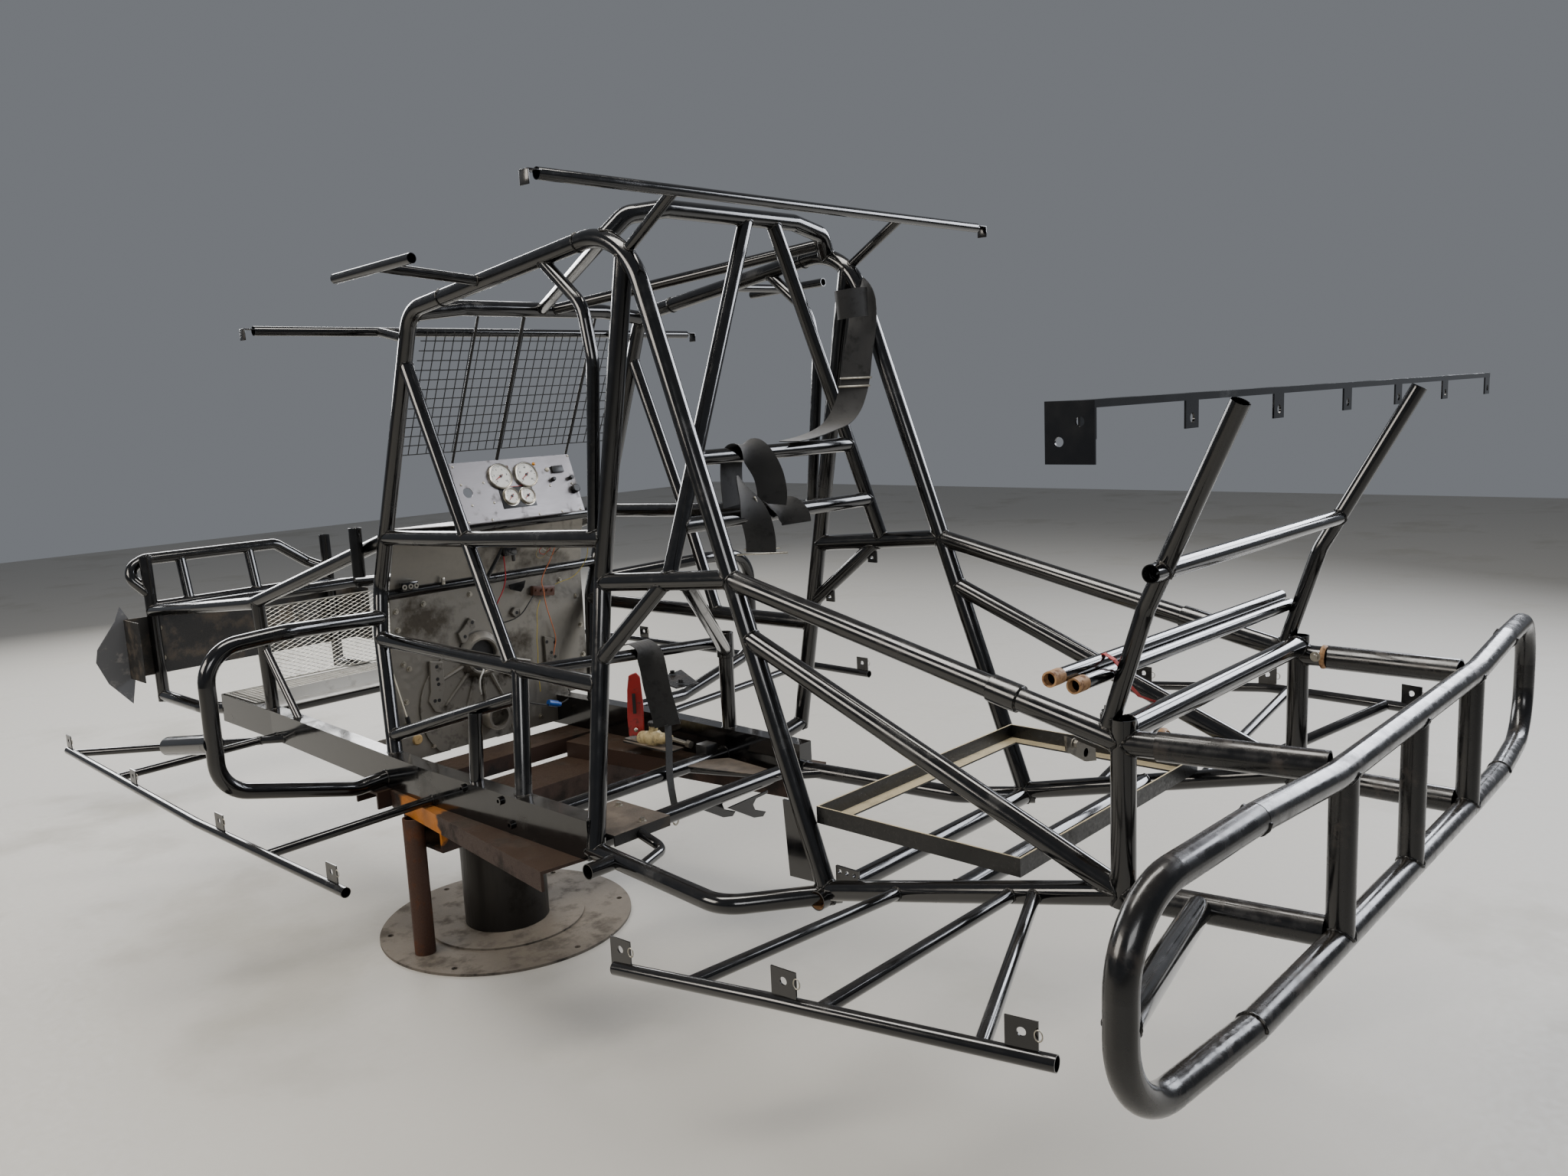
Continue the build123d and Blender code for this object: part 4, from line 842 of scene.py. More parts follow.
def place(
    obj: bpy.types.Object, finish: Finish, replaced: Iterable[str] = ()
) -> bpy.types.Object:
    """Link an object, give it its finish and let it ride on the frame.

    Args:
        obj: A mesh or curve object whose data is in the row frame.
        finish: Its material.
        replaced: CAD nodes that it stands for.

    Returns:
        The same object.
    """
    bpy.context.scene.collection.objects.link(obj)
    obj.data.materials.append(finish.build())
    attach(obj, "root")
    for node in replaced:
        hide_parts(node)
    LOG.info("%s, %s", obj.name, finish.name)
    return obj


def curve_object(
    name: str, lines: Sequence[Sequence[Vector]], radius: float, closed: bool = False
) -> bpy.types.Object:
    """A round wire along smooth lines.

    Args:
        name: The object's name.
        lines: The control points of each line.
        radius: The wire's radius.
        closed: Whether each line is a loop.

    Returns:
        The object, not yet in the scene.
    """
    curve = bpy.data.curves.new(name, "CURVE")
    curve.dimensions = "3D"
    curve.bevel_depth = radius
    curve.bevel_resolution = 3
    curve.use_fill_caps = True
    curve.resolution_u = 8
    for line in lines:
        spline = curve.splines.new("NURBS")
        spline.points.add(len(line) - 1)
        for point, co in zip(spline.points, line):
            point.co = (*co, 1.0)
        spline.order_u = 3
        spline.use_cyclic_u = closed
        spline.use_endpoint_u = not closed
    return bpy.data.objects.new(name, curve)


@dataclass(frozen=True)
class Face:
    """A flat face that carries small parts, with its own two axes.

    Attributes:
        origin: A point of the face.
        across: Its first axis.
        along: Its second axis.
    """

    origin: Vector
    across: Vector
    along: Vector

    @property
    def out(self) -> Vector:
        """The direction that the face looks in."""
        return self.across.cross(self.along).normalized()

    def point(self, u: float, v: float, out: float = 0.0) -> Vector:
        """A point by its place on the face.

        Args:
            u: Millimetres along the first axis.
            v: Millimetres along the second axis.
            out: Millimetres off the face.

        Returns:
            The point in the row frame.
        """
        return self.origin + self.across * mm(u) + self.along * mm(v) + self.out * mm(out)

    def axes(self, turn: float = 0.0) -> Matrix:
        """The face's axes as columns, turned by an angle in the face."""
        return Matrix((self.across, self.along, self.out)).transposed() @ Matrix.Rotation(turn, 3, "Z")

    def polar(self, u: float, v: float, reach: float, angle: float, out: float) -> Vector:
        """A point by its distance and direction from another.

        Args:
            u: The other point's place along the first axis, in millimetres.
            v: Its place along the second axis.
            reach: Millimetres from it.
            angle: The direction, in radians from the first axis.
            out: Millimetres off the face.

        Returns:
            The point in the row frame.
        """
        return self.point(u + reach * math.cos(angle), v + reach * math.sin(angle), out)


# The dash leans over its lip and looks at the driver
DASH = Face(at(0, -36, 746.35), -LEFT, (at(0, -108, 935) - at(0, -36, 746.35)).normalized())
# The firewall looks at the driver
FIREWALL = Face(at(0, -205, 0), -LEFT, UP)
# The wire screen leans from the dash to the header
SCREEN = Face(at(0, -114, 935), -LEFT, (at(0, 102, 1387) - at(0, -114, 935)).normalized())


def clipped(
    start: tuple[float, float], run: tuple[float, float], size: tuple[float, float]
) -> list[tuple[float, float]]:
    """The stretch of a slanted line that lies in a rectangle.

    Args:
        start: A point of the line.
        run: Its direction, with neither part zero.
        size: The rectangle's far corner; the near one is the origin.

    Returns:
        The stretch's two ends, or an empty list where the line misses the rectangle.
    """
    low, high = -math.inf, math.inf
    for s, r, limit in zip(start, run, size):
        a, b = sorted(((0 - s) / r, (limit - s) / r))
        low, high = max(low, a), min(high, b)
    if high - low < 1e-6:
        return []
    return [(start[0] + run[0] * t, start[1] + run[1] * t) for t in (low, high)]


@dataclass
class ExpandedMetal:
    """Expanded sheet on a rectangle, with a folded rim.

    Attributes:
        name: The object's name.
        face: The face that it lies on, with its origin in one corner.
        size: Its width and height in millimetres.
        diamond: Width and height of one opening in millimetres.
        strand: A strand's radius in metres.
        rim: The rim's radius in metres.
        cross: How far off the face the strands of each direction lie, in millimetres.
    """

    name: str
    face: Face
    size: tuple[float, float]
    diamond: tuple[float, float] = (34.0, 14.0)
    strand: float = 0.0011
    rim: float = 0.0025
    cross: float = 0.8

    def build(self, *replaced: str) -> bpy.types.Object:
        """Lay the strands both ways and frame them.

        Args:
            *replaced: CAD nodes that the sheet stands for.

        Returns:
            The object.
        """
        piece = Piece(self.name, EXPANDED_METAL, Slot.BRIGHT_ALUMINIUM)
        width, height = self.size
        dx, dy = self.diamond
        slant = height / dy * dx
        count = int((width + slant) / dx) + 1
        for sign, first, foot in ((1, 0.0, 0.0), (-1, -slant, height)):
            for k in range(-count, 2 * count):
                stretch = clipped((first + k * dx, foot), (dx, sign * dy), self.size)
                if stretch:
                    ends = [self.face.point(*p, out=self.cross * sign) for p in stretch]
                    piece.rod(*ends, self.strand, sides=4)
        corners = ((0, 0), (width, 0), (width, height), (0, height))
        for a, b in zip(corners, corners[1:] + corners[:1]):
            piece.rod(self.face.point(*a), self.face.point(*b), self.rim, sides=6)
        return piece.done(*replaced)


@dataclass
class WindscreenScreen:
    """The wire screen in front of the driver, welded to three rods.

    Attributes:
        low: Its lower edge, in millimetres up the face.
        high: Its upper edge.
        left: Its left edge's place at the bottom, in millimetres across the face.
        left_in: How far that edge comes in towards the top.
        right: Its right edge's place at the bottom.
        right_in: How far that edge comes in towards the top.
        cell: The wires' spacing.
        wire: A wire's radius.
        rods: Place and radius of each rod behind the wires.
        rod_span: The rods' lower and upper ends.
    """

    low: float = 41.0
    high: float = 427.0
    left: float = -386.0
    left_in: float = 12.0
    right: float = 387.0
    right_in: float = 87.0
    cell: float = 30.0
    wire: float = 1.5
    rods: tuple[tuple[float, float], ...] = ((-200, 4.0), (-38, 5.5), (235, 4.0))
    rod_span: tuple[float, float] = (3.0, 478.0)

    def edges(self, v: float) -> tuple[float, float]:
        """Where the side edges lie across the face, v millimetres up it."""
        share = (v - self.low) / (self.high - self.low)
        return self.left + self.left_in * share, self.right - self.right_in * share

    def top(self, u: float) -> float:
        """Where an upright wire ends below the screen's slanted side edges."""
        height = self.high - self.low
        left, right = self.edges(self.high)
        if u > right:
            return self.low + (self.right - u) / self.right_in * height
        if u < left:
            return self.low + (u - self.left) / self.left_in * height
        return self.high

    def build(self) -> bpy.types.Object:
        """Weld the wires and rods into one screen."""
        piece = Piece("windscreen_screen", SCREEN_WIRE)
        for row in range(int((self.high - self.low) / self.cell) + 1):
            v = self.low + row * self.cell
            ends = [SCREEN.point(u, v, self.wire) for u in self.edges(v)]
            piece.rod(*ends, mm(self.wire), sides=6)
        u = self.left
        while u <= self.right:
            ends = [SCREEN.point(u, v, -self.wire) for v in (self.low, self.top(u))]
            piece.rod(*ends, mm(self.wire), sides=6)
            u += self.cell
        for u, radius in self.rods:
            piece.rod(*[SCREEN.point(u, v, 2) for v in self.rod_span], mm(radius), sides=12)
        return piece.done("windscreen_guard")


@dataclass(frozen=True)
class Gauge:
    """One round gauge of the dash.

    Attributes:
        u: Place across the dash.
        v: Place up the dash.
        radius: Outer radius of its bezel.
        needle: Angle of its needle in degrees.
        numbers: What its dial counts, if it is large enough to read.
    """

    u: float
    v: float
    radius: float
    needle: float
    numbers: tuple[str, ...] = ()


@dataclass
class Instruments:
    """The dash's gauges, lamps, switches and screws.

    Attributes:
        ink_height: How far the dials' print stands off the dash, in millimetres.
        gauges: The four gauges.
    """

    ink_height: float = 6.7
    gauges: tuple[Gauge, ...] = (
        Gauge(-48, 145, 43, 208, ("0", "2", "4", "6", "8", "10")),
        Gauge(50, 143, 43, 215, ("0", "20", "40", "60", "80")),
        Gauge(-28, 76, 28, 222),
        Gauge(33, 73, 28, 214),
    )

    def build(self) -> None:
        """Make every part of the dash that the driver reads or turns."""
        self.bezels()
        self.dials()
        self.controls()

    def bezels(self) -> None:
        """The bright rings and the cans behind the panel."""
        rims = Piece("gauge_bezels", ZINC_PLATE, Slot.GAUGE_PLASTIC)
        cans = Piece("gauge_cans", BLACK_INK_AND_SHADE, Slot.GAUGE_PLASTIC)
        for gauge in self.gauges:
            foot = DASH.point(gauge.u, gauge.v, 0.3)
            r = mm(gauge.radius)
            lip = ((r - 0.006, 0.006), (r - 0.005, 0.0085), (r - 0.002, 0.0095))
            rims.turned(foot, DASH.out, (*lip, (r, 0.008), (r, 0.0), (r - 0.008, 0.0)))
            can = ((0.0, 0.034), (r - 0.008, 0.034), (r - 0.0045, 0.03), (r - 0.0045, 0.0))
            cans.turned(foot, -DASH.out, can)
        rims.done("dash_gauges")
        cans.done()

    def dials(self) -> None:
        """White faces with ticks, numbers and red needles."""
        faces = Piece("gauge_faces", GAUGE_FACE, Slot.GAUGE_PLASTIC)
        ink = Piece("gauge_ticks", BLACK_INK_AND_SHADE, Slot.GAUGE_PLASTIC)
        needles = Piece("gauge_needles", NEEDLE_RED, Slot.GAUGE_PLASTIC)
        for index, gauge in enumerate(self.gauges):
            foot = DASH.point(gauge.u, gauge.v, 0.3)
            r = mm(gauge.radius)
            faces.turned(foot, DASH.out, ((0.0, 0.0062), (r - 0.0055, 0.0062), (r - 0.0055, 0.001)))
            ticks = 31 if gauge.numbers else 11
            for k in range(ticks):
                angle = self.dial_angle(k, ticks)
                length, wide = (5.0, 0.0013) if k % 5 == 0 else (2.8, 0.0006)
                middle = DASH.polar(gauge.u, gauge.v, gauge.radius - 9 - length / 2, angle, self.ink_height)
                ink.block(middle, (mm(length), wide, 0.0004), DASH.axes(angle))
            self.numerals(index, gauge)
            angle = math.radians(gauge.needle)
            tail = DASH.polar(gauge.u, gauge.v, -8, angle, 8.0)
            tip = DASH.polar(gauge.u, gauge.v, gauge.radius * 0.62, angle, 8.0)
            needles.rod(tail, tip, 0.0021, sides=6, tip=0.35)
            hub = ((0.0, 0.0098), (0.0035, 0.0098), (0.0045, 0.0085), (0.0045, 0.0062))
            ink.turned(foot, DASH.out, hub, 20)
        faces.done()
        ink.done()
        needles.done()

    def dial_angle(self, index: int, count: int) -> float:
        """The direction of one of a dial's marks, from lower left clockwise to lower right."""
        return math.radians(225 - 270 * index / (count - 1))

    def numerals(self, index: int, gauge: Gauge) -> None:
        """Put the numbers inside the ticks of a large gauge, each as its own mesh.

        Args:
            index: The gauge's number in the dash.
            gauge: The gauge.
        """
        for k, text in enumerate(gauge.numbers):
            angle = self.dial_angle(k, len(gauge.numbers))
            font = bpy.data.curves.new(f"numeral_{index}_{k}", "FONT")
            font.body = text
            font.size = 0.0085
            font.align_x = "CENTER"
            font.align_y = "CENTER"
            font.extrude = 0.0002
            shape = bpy.data.objects.new(f"numeral_curve_{index}_{k}", font)
            mesh = bpy.data.meshes.new_from_object(shape)
            bpy.data.objects.remove(shape)
            spot = DASH.polar(gauge.u, gauge.v, gauge.radius - 19, angle, self.ink_height)
            mesh.transform(Matrix.Translation(spot) @ DASH.axes().to_4x4())
            place(bpy.data.objects.new(f"numeral_{index}_{k}", mesh), BLACK_INK_AND_SHADE)

    def controls(self) -> None:
        """The black gauge panel, lamps, button, rocker, knobs, screws and pins."""
        panel = Piece("gauge_panel", BLACK_INK_AND_SHADE, Slot.GAUGE_PLASTIC)
        panel.block(DASH.point(-3, 73, 0.8), (0.127, 0.070, 0.0012), DASH.axes(), 0.0004)
        panel.block(DASH.point(178, 152, 4), (0.045, 0.024, 0.008), DASH.axes(), 0.002)
        for u, v, radius in ((148, 118, 7), (220, 118, 7), (225, 79, 14)):
            r = mm(radius)
            knob = ((0.0, 0.016), (r * 0.8, 0.016), (r, 0.014), (r * 1.05, 0.004), (r * 0.6, 0.0))
            panel.turned(DASH.point(u, v), DASH.out, knob, 24)
        panel.done()
        edge = Piece("gauge_panel_edge", NEEDLE_RED, Slot.GAUGE_PLASTIC)
        edge.block(DASH.point(-3, 108.5, 1.0), (0.127, 0.0016, 0.0016), DASH.axes())
        edge.done()
        for name, finish, u, v, radius in (
            ("amber_lamp", AMBER_LENS, 94, 178, 6),
            ("brown_lamp", BROWN_LENS, -11, 175, 5),
            ("start_button", WHITE_PLASTIC, 140, 154, 8),
        ):
            lamp = Piece(name, finish, Slot.GAUGE_PLASTIC)
            r = mm(radius)
            bulb = ((0.0, r), (r * 0.5, r * 0.87), (r * 0.87, r * 0.5), (r, 0.0))
            lamp.turned(DASH.point(u, v), DASH.out, bulb, 24)
            lamp.done()
        screws = Piece("dash_screws", ZINC_PLATE, Slot.GAUGE_PLASTIC)
        spots = [(-194, 130), (-113, 130), (-176, 61), (-95, 62), (238, 196), (221, 99), (133, 99)]
        spots += [(-205, 8), (-120, 8), (60, 8), (150, 8), (225, 8), (-205, 190)]
        for u, v in spots:
            dome(screws, DASH.point(u, v), DASH.out, 4.5)
        ring = ((0.0285, 0.001), (0.0315, 0.001), (0.0315, 0.0), (0.0285, 0.0))
        for gauge in self.gauges[2:]:
            screws.turned(DASH.point(gauge.u, gauge.v, 1.4), DASH.out, ring, 32)
        screws.done()


def dome(piece: Piece, foot: Vector, out: Vector, radius: float) -> None:
    """Add a round screw head.

    Args:
        piece: The piece that it goes to.
        foot: The middle of its seat.
        out: The direction that it stands out in.
        radius: Its radius in millimetres.
    """
    r = mm(radius)
    piece.turned(foot, out, ((0.0, r * 0.55), (r * 0.5, r * 0.48), (r * 0.85, r * 0.28), (r, 0.0)), 14)


def hex_bolt(piece: Piece, foot: Vector, out: Vector, across: float) -> None:
    """Add a washer and a hexagon head.

    Args:
        piece: The piece that it goes to.
        foot: The middle of the washer's seat.
        out: The direction that it stands out in.
        across: Millimetres across its flats.
    """
    r = mm(across) / math.sqrt(3)
    piece.turned(foot, out, ((0.0, 0.0016), (r * 1.45, 0.0016), (r * 1.5, 0.0)), 20)
    piece.rod(foot + out * 0.0016, foot + out * (0.0016 + mm(across) * 0.6), r, sides=6, tip=0.96)


@dataclass
class FirewallParts:
    """The motor plate, brackets, bolts and plumbing on the firewall."""

    def build(self) -> None:
        """Make the parts that stand on the sheet."""
        self.cowl()
        self.motor_plate()
        self.brackets()
        self.fasteners()

    def cowl(self) -> None:
        """The sheet between the firewall's top bar and the dash's lip, and what hangs before it."""
        sheet = Piece("cowl_sheet", STAINED_ALUMINIUM, Slot.STAINED_ALUMINIUM)
        corners = ((404, -214, 520), (-337, -214, 520), (-342, -177, 742), (381, -177, 742))
        sheet.plate([at(*c) for c in corners], 0.001, 0)
        sheet.rod(at(381, -176, 743), at(-342, -176, 743), 0.002, sides=8)
        sheet.done()
        black = Piece("column_hanger", BLACK_ENAMEL)
        black.rod(at(-8, -130, 700), at(74, -176, 545), 0.007, sides=14)
        black.rod(at(-8, -130, 700), at(-22, -150, 600), 0.006, sides=14)
        black.block(at(0, -140, 640), (0.05, 0.02, 0.04), None, 0.004)
        hanger = ((-20, 517), (-88, 522), (-80, 500), (-66, 486), (-26, 500))
        black.plate([at(x, -186, h) for x, h in hanger], 0.004)
        black.block(at(345, -186, 566), (0.056, 0.022, 0.028), None, 0.004)
        black.done()
        clips = Piece("cowl_clips", ZINC_PLATE, Slot.STAINED_ALUMINIUM)
        clips.block(at(220, -192, 563), (0.012, 0.006, 0.022), None, 0.002)
        for x in (366, 345, 326):
            ring = ((0.004, 0.0), (0.004, 0.003), (0.008, 0.003), (0.008, 0.0))
            clips.turned(at(x, -175, 566), REAR, ring, 18)
        clips.done()

    def motor_plate(self) -> None:
        """The plate over the bell opening, with its turned ring, ribs and starter can, and painted shade in
        the ring's bore.
        """
        plate = Piece("motor_plate", CAST_IRON, Slot.STAINED_ALUMINIUM)
        # A disc of 188 mm radius, cut off level at its foot
        rim: list[Vector] = []
        for k in range(48):
            angle = math.tau * k / 48
            u, v = -150 + 188 * math.cos(angle), max(14.0, 152 + 188 * math.sin(angle))
            corner = FIREWALL.point(u, v, 0.3)
            if not rim or (rim[-1] - corner).length > mm(1):
                rim.append(corner)
        plate.plate(rim, 0.006)
        centre = FIREWALL.point(-104, 300, 6)
        lip = ((0.050, 0.0), (0.050, 0.016), (0.054, 0.02), (0.060, 0.02))
        plate.turned(centre, FIREWALL.out, (*lip, (0.064, 0.016), (0.078, 0.004), (0.080, 0.0)), 56)
        for k in range(7):
            angle = math.radians(200 + 24 * k)
            away = FIREWALL.across * math.cos(angle) + FIREWALL.along * math.sin(angle)
            if (centre + away * 0.2).z > at(0, 0, 30).z:
                plate.rod(centre + away * 0.07, centre + away * 0.2, 0.009, sides=8, tip=0.55)
        can = ((0.045, 0.0), (0.045, 0.05), (0.041, 0.056), (0.033, 0.056), (0.033, 0.02), (0.0, 0.02))
        plate.turned(FIREWALL.point(-84, 96, 6), FIREWALL.out, can, 40)
        plate.done()
        # A flat black disc inside the ring: painted shade for the dark inside the bore
        bore = Piece("crank_bore_shade", BLACK_INK_AND_SHADE, Slot.STAINED_ALUMINIUM)
        bore.turned(centre, FIREWALL.out, ((0.0, 0.001), (0.05, 0.001), (0.05, -0.001)), 40)
        bore.done()

    def brackets(self) -> None:
        """Raised brackets, their bolt holes filled with black discs of painted shade."""
        steel = Piece("firewall_brackets", CAST_IRON, Slot.STAINED_ALUMINIUM)
        # Black discs on the bolt holes: painted shade for the dark inside each hole
        holes = Piece("firewall_bracket_hole_shade", BLACK_INK_AND_SHADE, Slot.STAINED_ALUMINIUM)
        left = (
            (293, 316), (298, 216), (309, 188), (290, 150), (262, 140), (258, 190), (246, 215), (246, 306),
        )
        right = ((-151, 318), (-150, 205), (-205, 194), (-205, 302))
        hook = (
            (181, 386), (172, 352), (150, 350), (140, 384), (118, 395), (113, 418), (135, 430), (160, 400),
        )
        ear = ((-26, 420), (-40, 400), (-62, 408), (-62, 430), (-40, 437))
        disc = ((0.0, 0.0004), (0.006, 0.0004), (0.006, -0.002))
        for shape, bolts in (
            (left, ((270, 294), (271, 254), (269, 237), (287, 186), (272, 185))),
            (right, ((-159, 297), (-192, 290), (-175, 257), (-189, 240), (-189, 211))),
            (hook, ((127, 414), (158, 372))),
            (ear, ((-47, 418),)),
        ):
            steel.plate([FIREWALL.point(-x, h, 0.3) for x, h in shape], 0.012, 0.002)
            for x, h in bolts:
                holes.turned(FIREWALL.point(-x, h, 12.3), FIREWALL.out, disc, 18)
        steel.done()
        holes.done()

    def fasteners(self) -> None:
        """Hexagon bolts along the sheet's edges and the bolt clusters."""
        bolts = Piece("firewall_bolts", ZINC_PLATE, Slot.STAINED_ALUMINIUM)
        left = ((386, 490), (385, 431), (377, 321), (359, 303))
        right = ((-307, 435), (-319, 223), (-312, 187))
        sides = ((380, 200), (385, 130), (-317, 330))
        top = ((290, 500), (120, 505), (-80, 505), (-240, 500))
        foot = ((300, 40), (0, 40), (-120, 40))
        for x, h in (*left, *right, *sides, *top, *foot):
            hex_bolt(bolts, FIREWALL.point(-x, h), FIREWALL.out, 11)
        bolts.done()


@dataclass(frozen=True)
class Wire:
    """One wire or hose of the cockpit.

    Attributes:
        name: The object's name.
        finish: Its insulation.
        diameter: Its thickness in millimetres.
        points: The control points that it hangs along.
    """

    name: str
    finish: Finish
    diameter: float
    points: tuple[Vector, ...]


def plastic(name: str, colour: str) -> Finish:
    """Extruded insulation of one colour, slightly dirty."""
    grime = "#3a332c"
    return Finish(name, colour, grime, patch_mm=30, share=0.15, rough=(0.35, 0.5), grain_depth_mm=0.01)


@dataclass
class Wiring:
    """Loose wires from the dash to the terminal block and down the firewall."""

    LOOP_COLOURS: ClassVar[tuple[str, ...]] = ("#8a7b4f", "#a33a2c", "#b9b4a6", "#5b4a33", "#2b2b2b")
    LOOP_SPACING: ClassVar[int] = 17

    def wires(self) -> tuple[Wire, ...]:
        """Every wire, from where it leaves the dash or block."""
        red = plastic("Red wire insulation", "#b3202c")
        orange = plastic("Orange wire insulation", "#c9744a")
        yellow = plastic("Yellow wire insulation", "#b8a43a")
        black = plastic("Black wire insulation", "#121212")
        white = plastic("White hose", "#c9c7c0")
        return (
            Wire("wire_red", red, 4.0, path_of(
                (26, -110, 700), (24, -140, 650), (4, -165, 590), (0, -170, 545), (12, -172, 505),
                (32, -180, 470), (34, -199, 440),
            )),
            Wire("wire_orange", orange, 3.4, path_of(
                (-160, -90, 660), (-165, -130, 600), (-128, -160, 520), (-146, -168, 482),
                (-151, -175, 439), (-180, -186, 362), (-199, -190, 304), (-184, -192, 258),
                (-180, -199, 210),
            )),
            Wire("wire_yellow", yellow, 2.4, path_of(
                (-138, -183, 448), (-117, -180, 415), (-119, -182, 366), (-111, -184, 313),
                (-117, -188, 270), (-112, -190, 229), (-119, -196, 130),
            )),
            Wire("wire_black", black, 4.0, path_of(
                (-122, -190, 470), (-91, -180, 447), (-60, -182, 411), (-20, -186, 396), (8, -199, 392),
            )),
            Wire("wire_yellow_right", yellow, 2.2, path_of(
                (-290, -100, 650), (-312, -120, 600), (-305, -150, 545), (-270, -165, 508),
                (-225, -175, 500), (-205, -183, 492),
            )),
            Wire("hose_white", white, 6.0, path_of(
                (112, -172, 262), (128, -150, 258), (144, -150, 235), (146, -152, 205), (138, -160, 186),
                (122, -185, 174),
            )),
            *self.tangle(),
            Wire("cable_black_low", black, 5.0, path_of(
                (40, -183, 150), (0, -150, 132), (-55, -130, 108), (-118, -125, 92), (-176, -130, 92),
                (-226, -165, 104), (-240, -199, 112),
            )),
        )

    def tangle(self) -> Iterator[Wire]:
        """Short wires that loop below the dash and come back to it, each a little further forward."""
        for k, colour in enumerate(self.LOOP_COLOURS):
            x = -92 - self.LOOP_SPACING * k
            low = 596 + 11 * (k % 3)
            points = path_of(
                (x, -96, 676),
                (x - 4, -104 - 3 * k, 640),
                (x + 12, -112 - 4 * k, low + 18),
                (x - 6, -112 - 5 * k, low),
                (x - 30, -108 - 4 * k, low + 14),
                (x - 36, -102 - 3 * k, 640),
                (x - 34, -96, 676),
            )
            yield Wire(f"wire_loop_{k}", plastic(f"Loop wire insulation {k}", colour), 2.4, points)

    def build(self) -> None:
        """Lay the wires, the terminal block and the connectors."""
        phenolic = plastic("Brown phenolic terminal block", "#4a2a1a")
        block = Piece("terminal_block", phenolic, Slot.GAUGE_PLASTIC)
        block.block(FIREWALL.point(160, 476, 9), (0.09, 0.034, 0.018), FIREWALL.axes(-0.12), 0.003)
        for u in (128, 150, 172, 194):
            hex_bolt(block, FIREWALL.point(u, 478 - (u - 160) * 0.12, 17), FIREWALL.out, 7)
        block.done()
        link = Piece("blue_connector", BLUE_PLASTIC, Slot.GAUGE_PLASTIC)
        link.rod(at(-100, -128, 104), at(-136, -128, 92), 0.011, sides=16)
        link.rod(at(-136, -128, 92), at(-148, -128, 88), 0.008, sides=16)
        link.done()
        for wire in self.wires():
            self.lay(wire)
        stay = Piece("choke_rod", WHITE_PLASTIC, Slot.GAUGE_PLASTIC)
        stay.rod(at(427, -199, 338), at(392, -185, 150), 0.002, sides=10)
        stay.done()
        cap = Piece("choke_rod_end", BLACK_INK_AND_SHADE, Slot.GAUGE_PLASTIC)
        cap.rod(at(394, -186, 160), at(386, -184, 120), 0.007, sides=14)
        cap.rod(at(386, -184, 120), at(383, -199, 108), 0.005, sides=12)
        cap.done()
        plug = Piece("tan_plug", TAN_PLASTIC, Slot.GAUGE_PLASTIC)
        crown = ((0.0, 0.006), (0.014, 0.005), (0.018, 0.0))
        plug.turned(FIREWALL.point(-354, 73), FIREWALL.out, crown, 28)
        plug.done()

    def lay(self, wire: Wire) -> None:
        """Hang one wire and say what it is."""
        obj = curve_object(wire.name, [wire.points], mm(wire.diameter) / 2)
        place(obj, wire.finish)


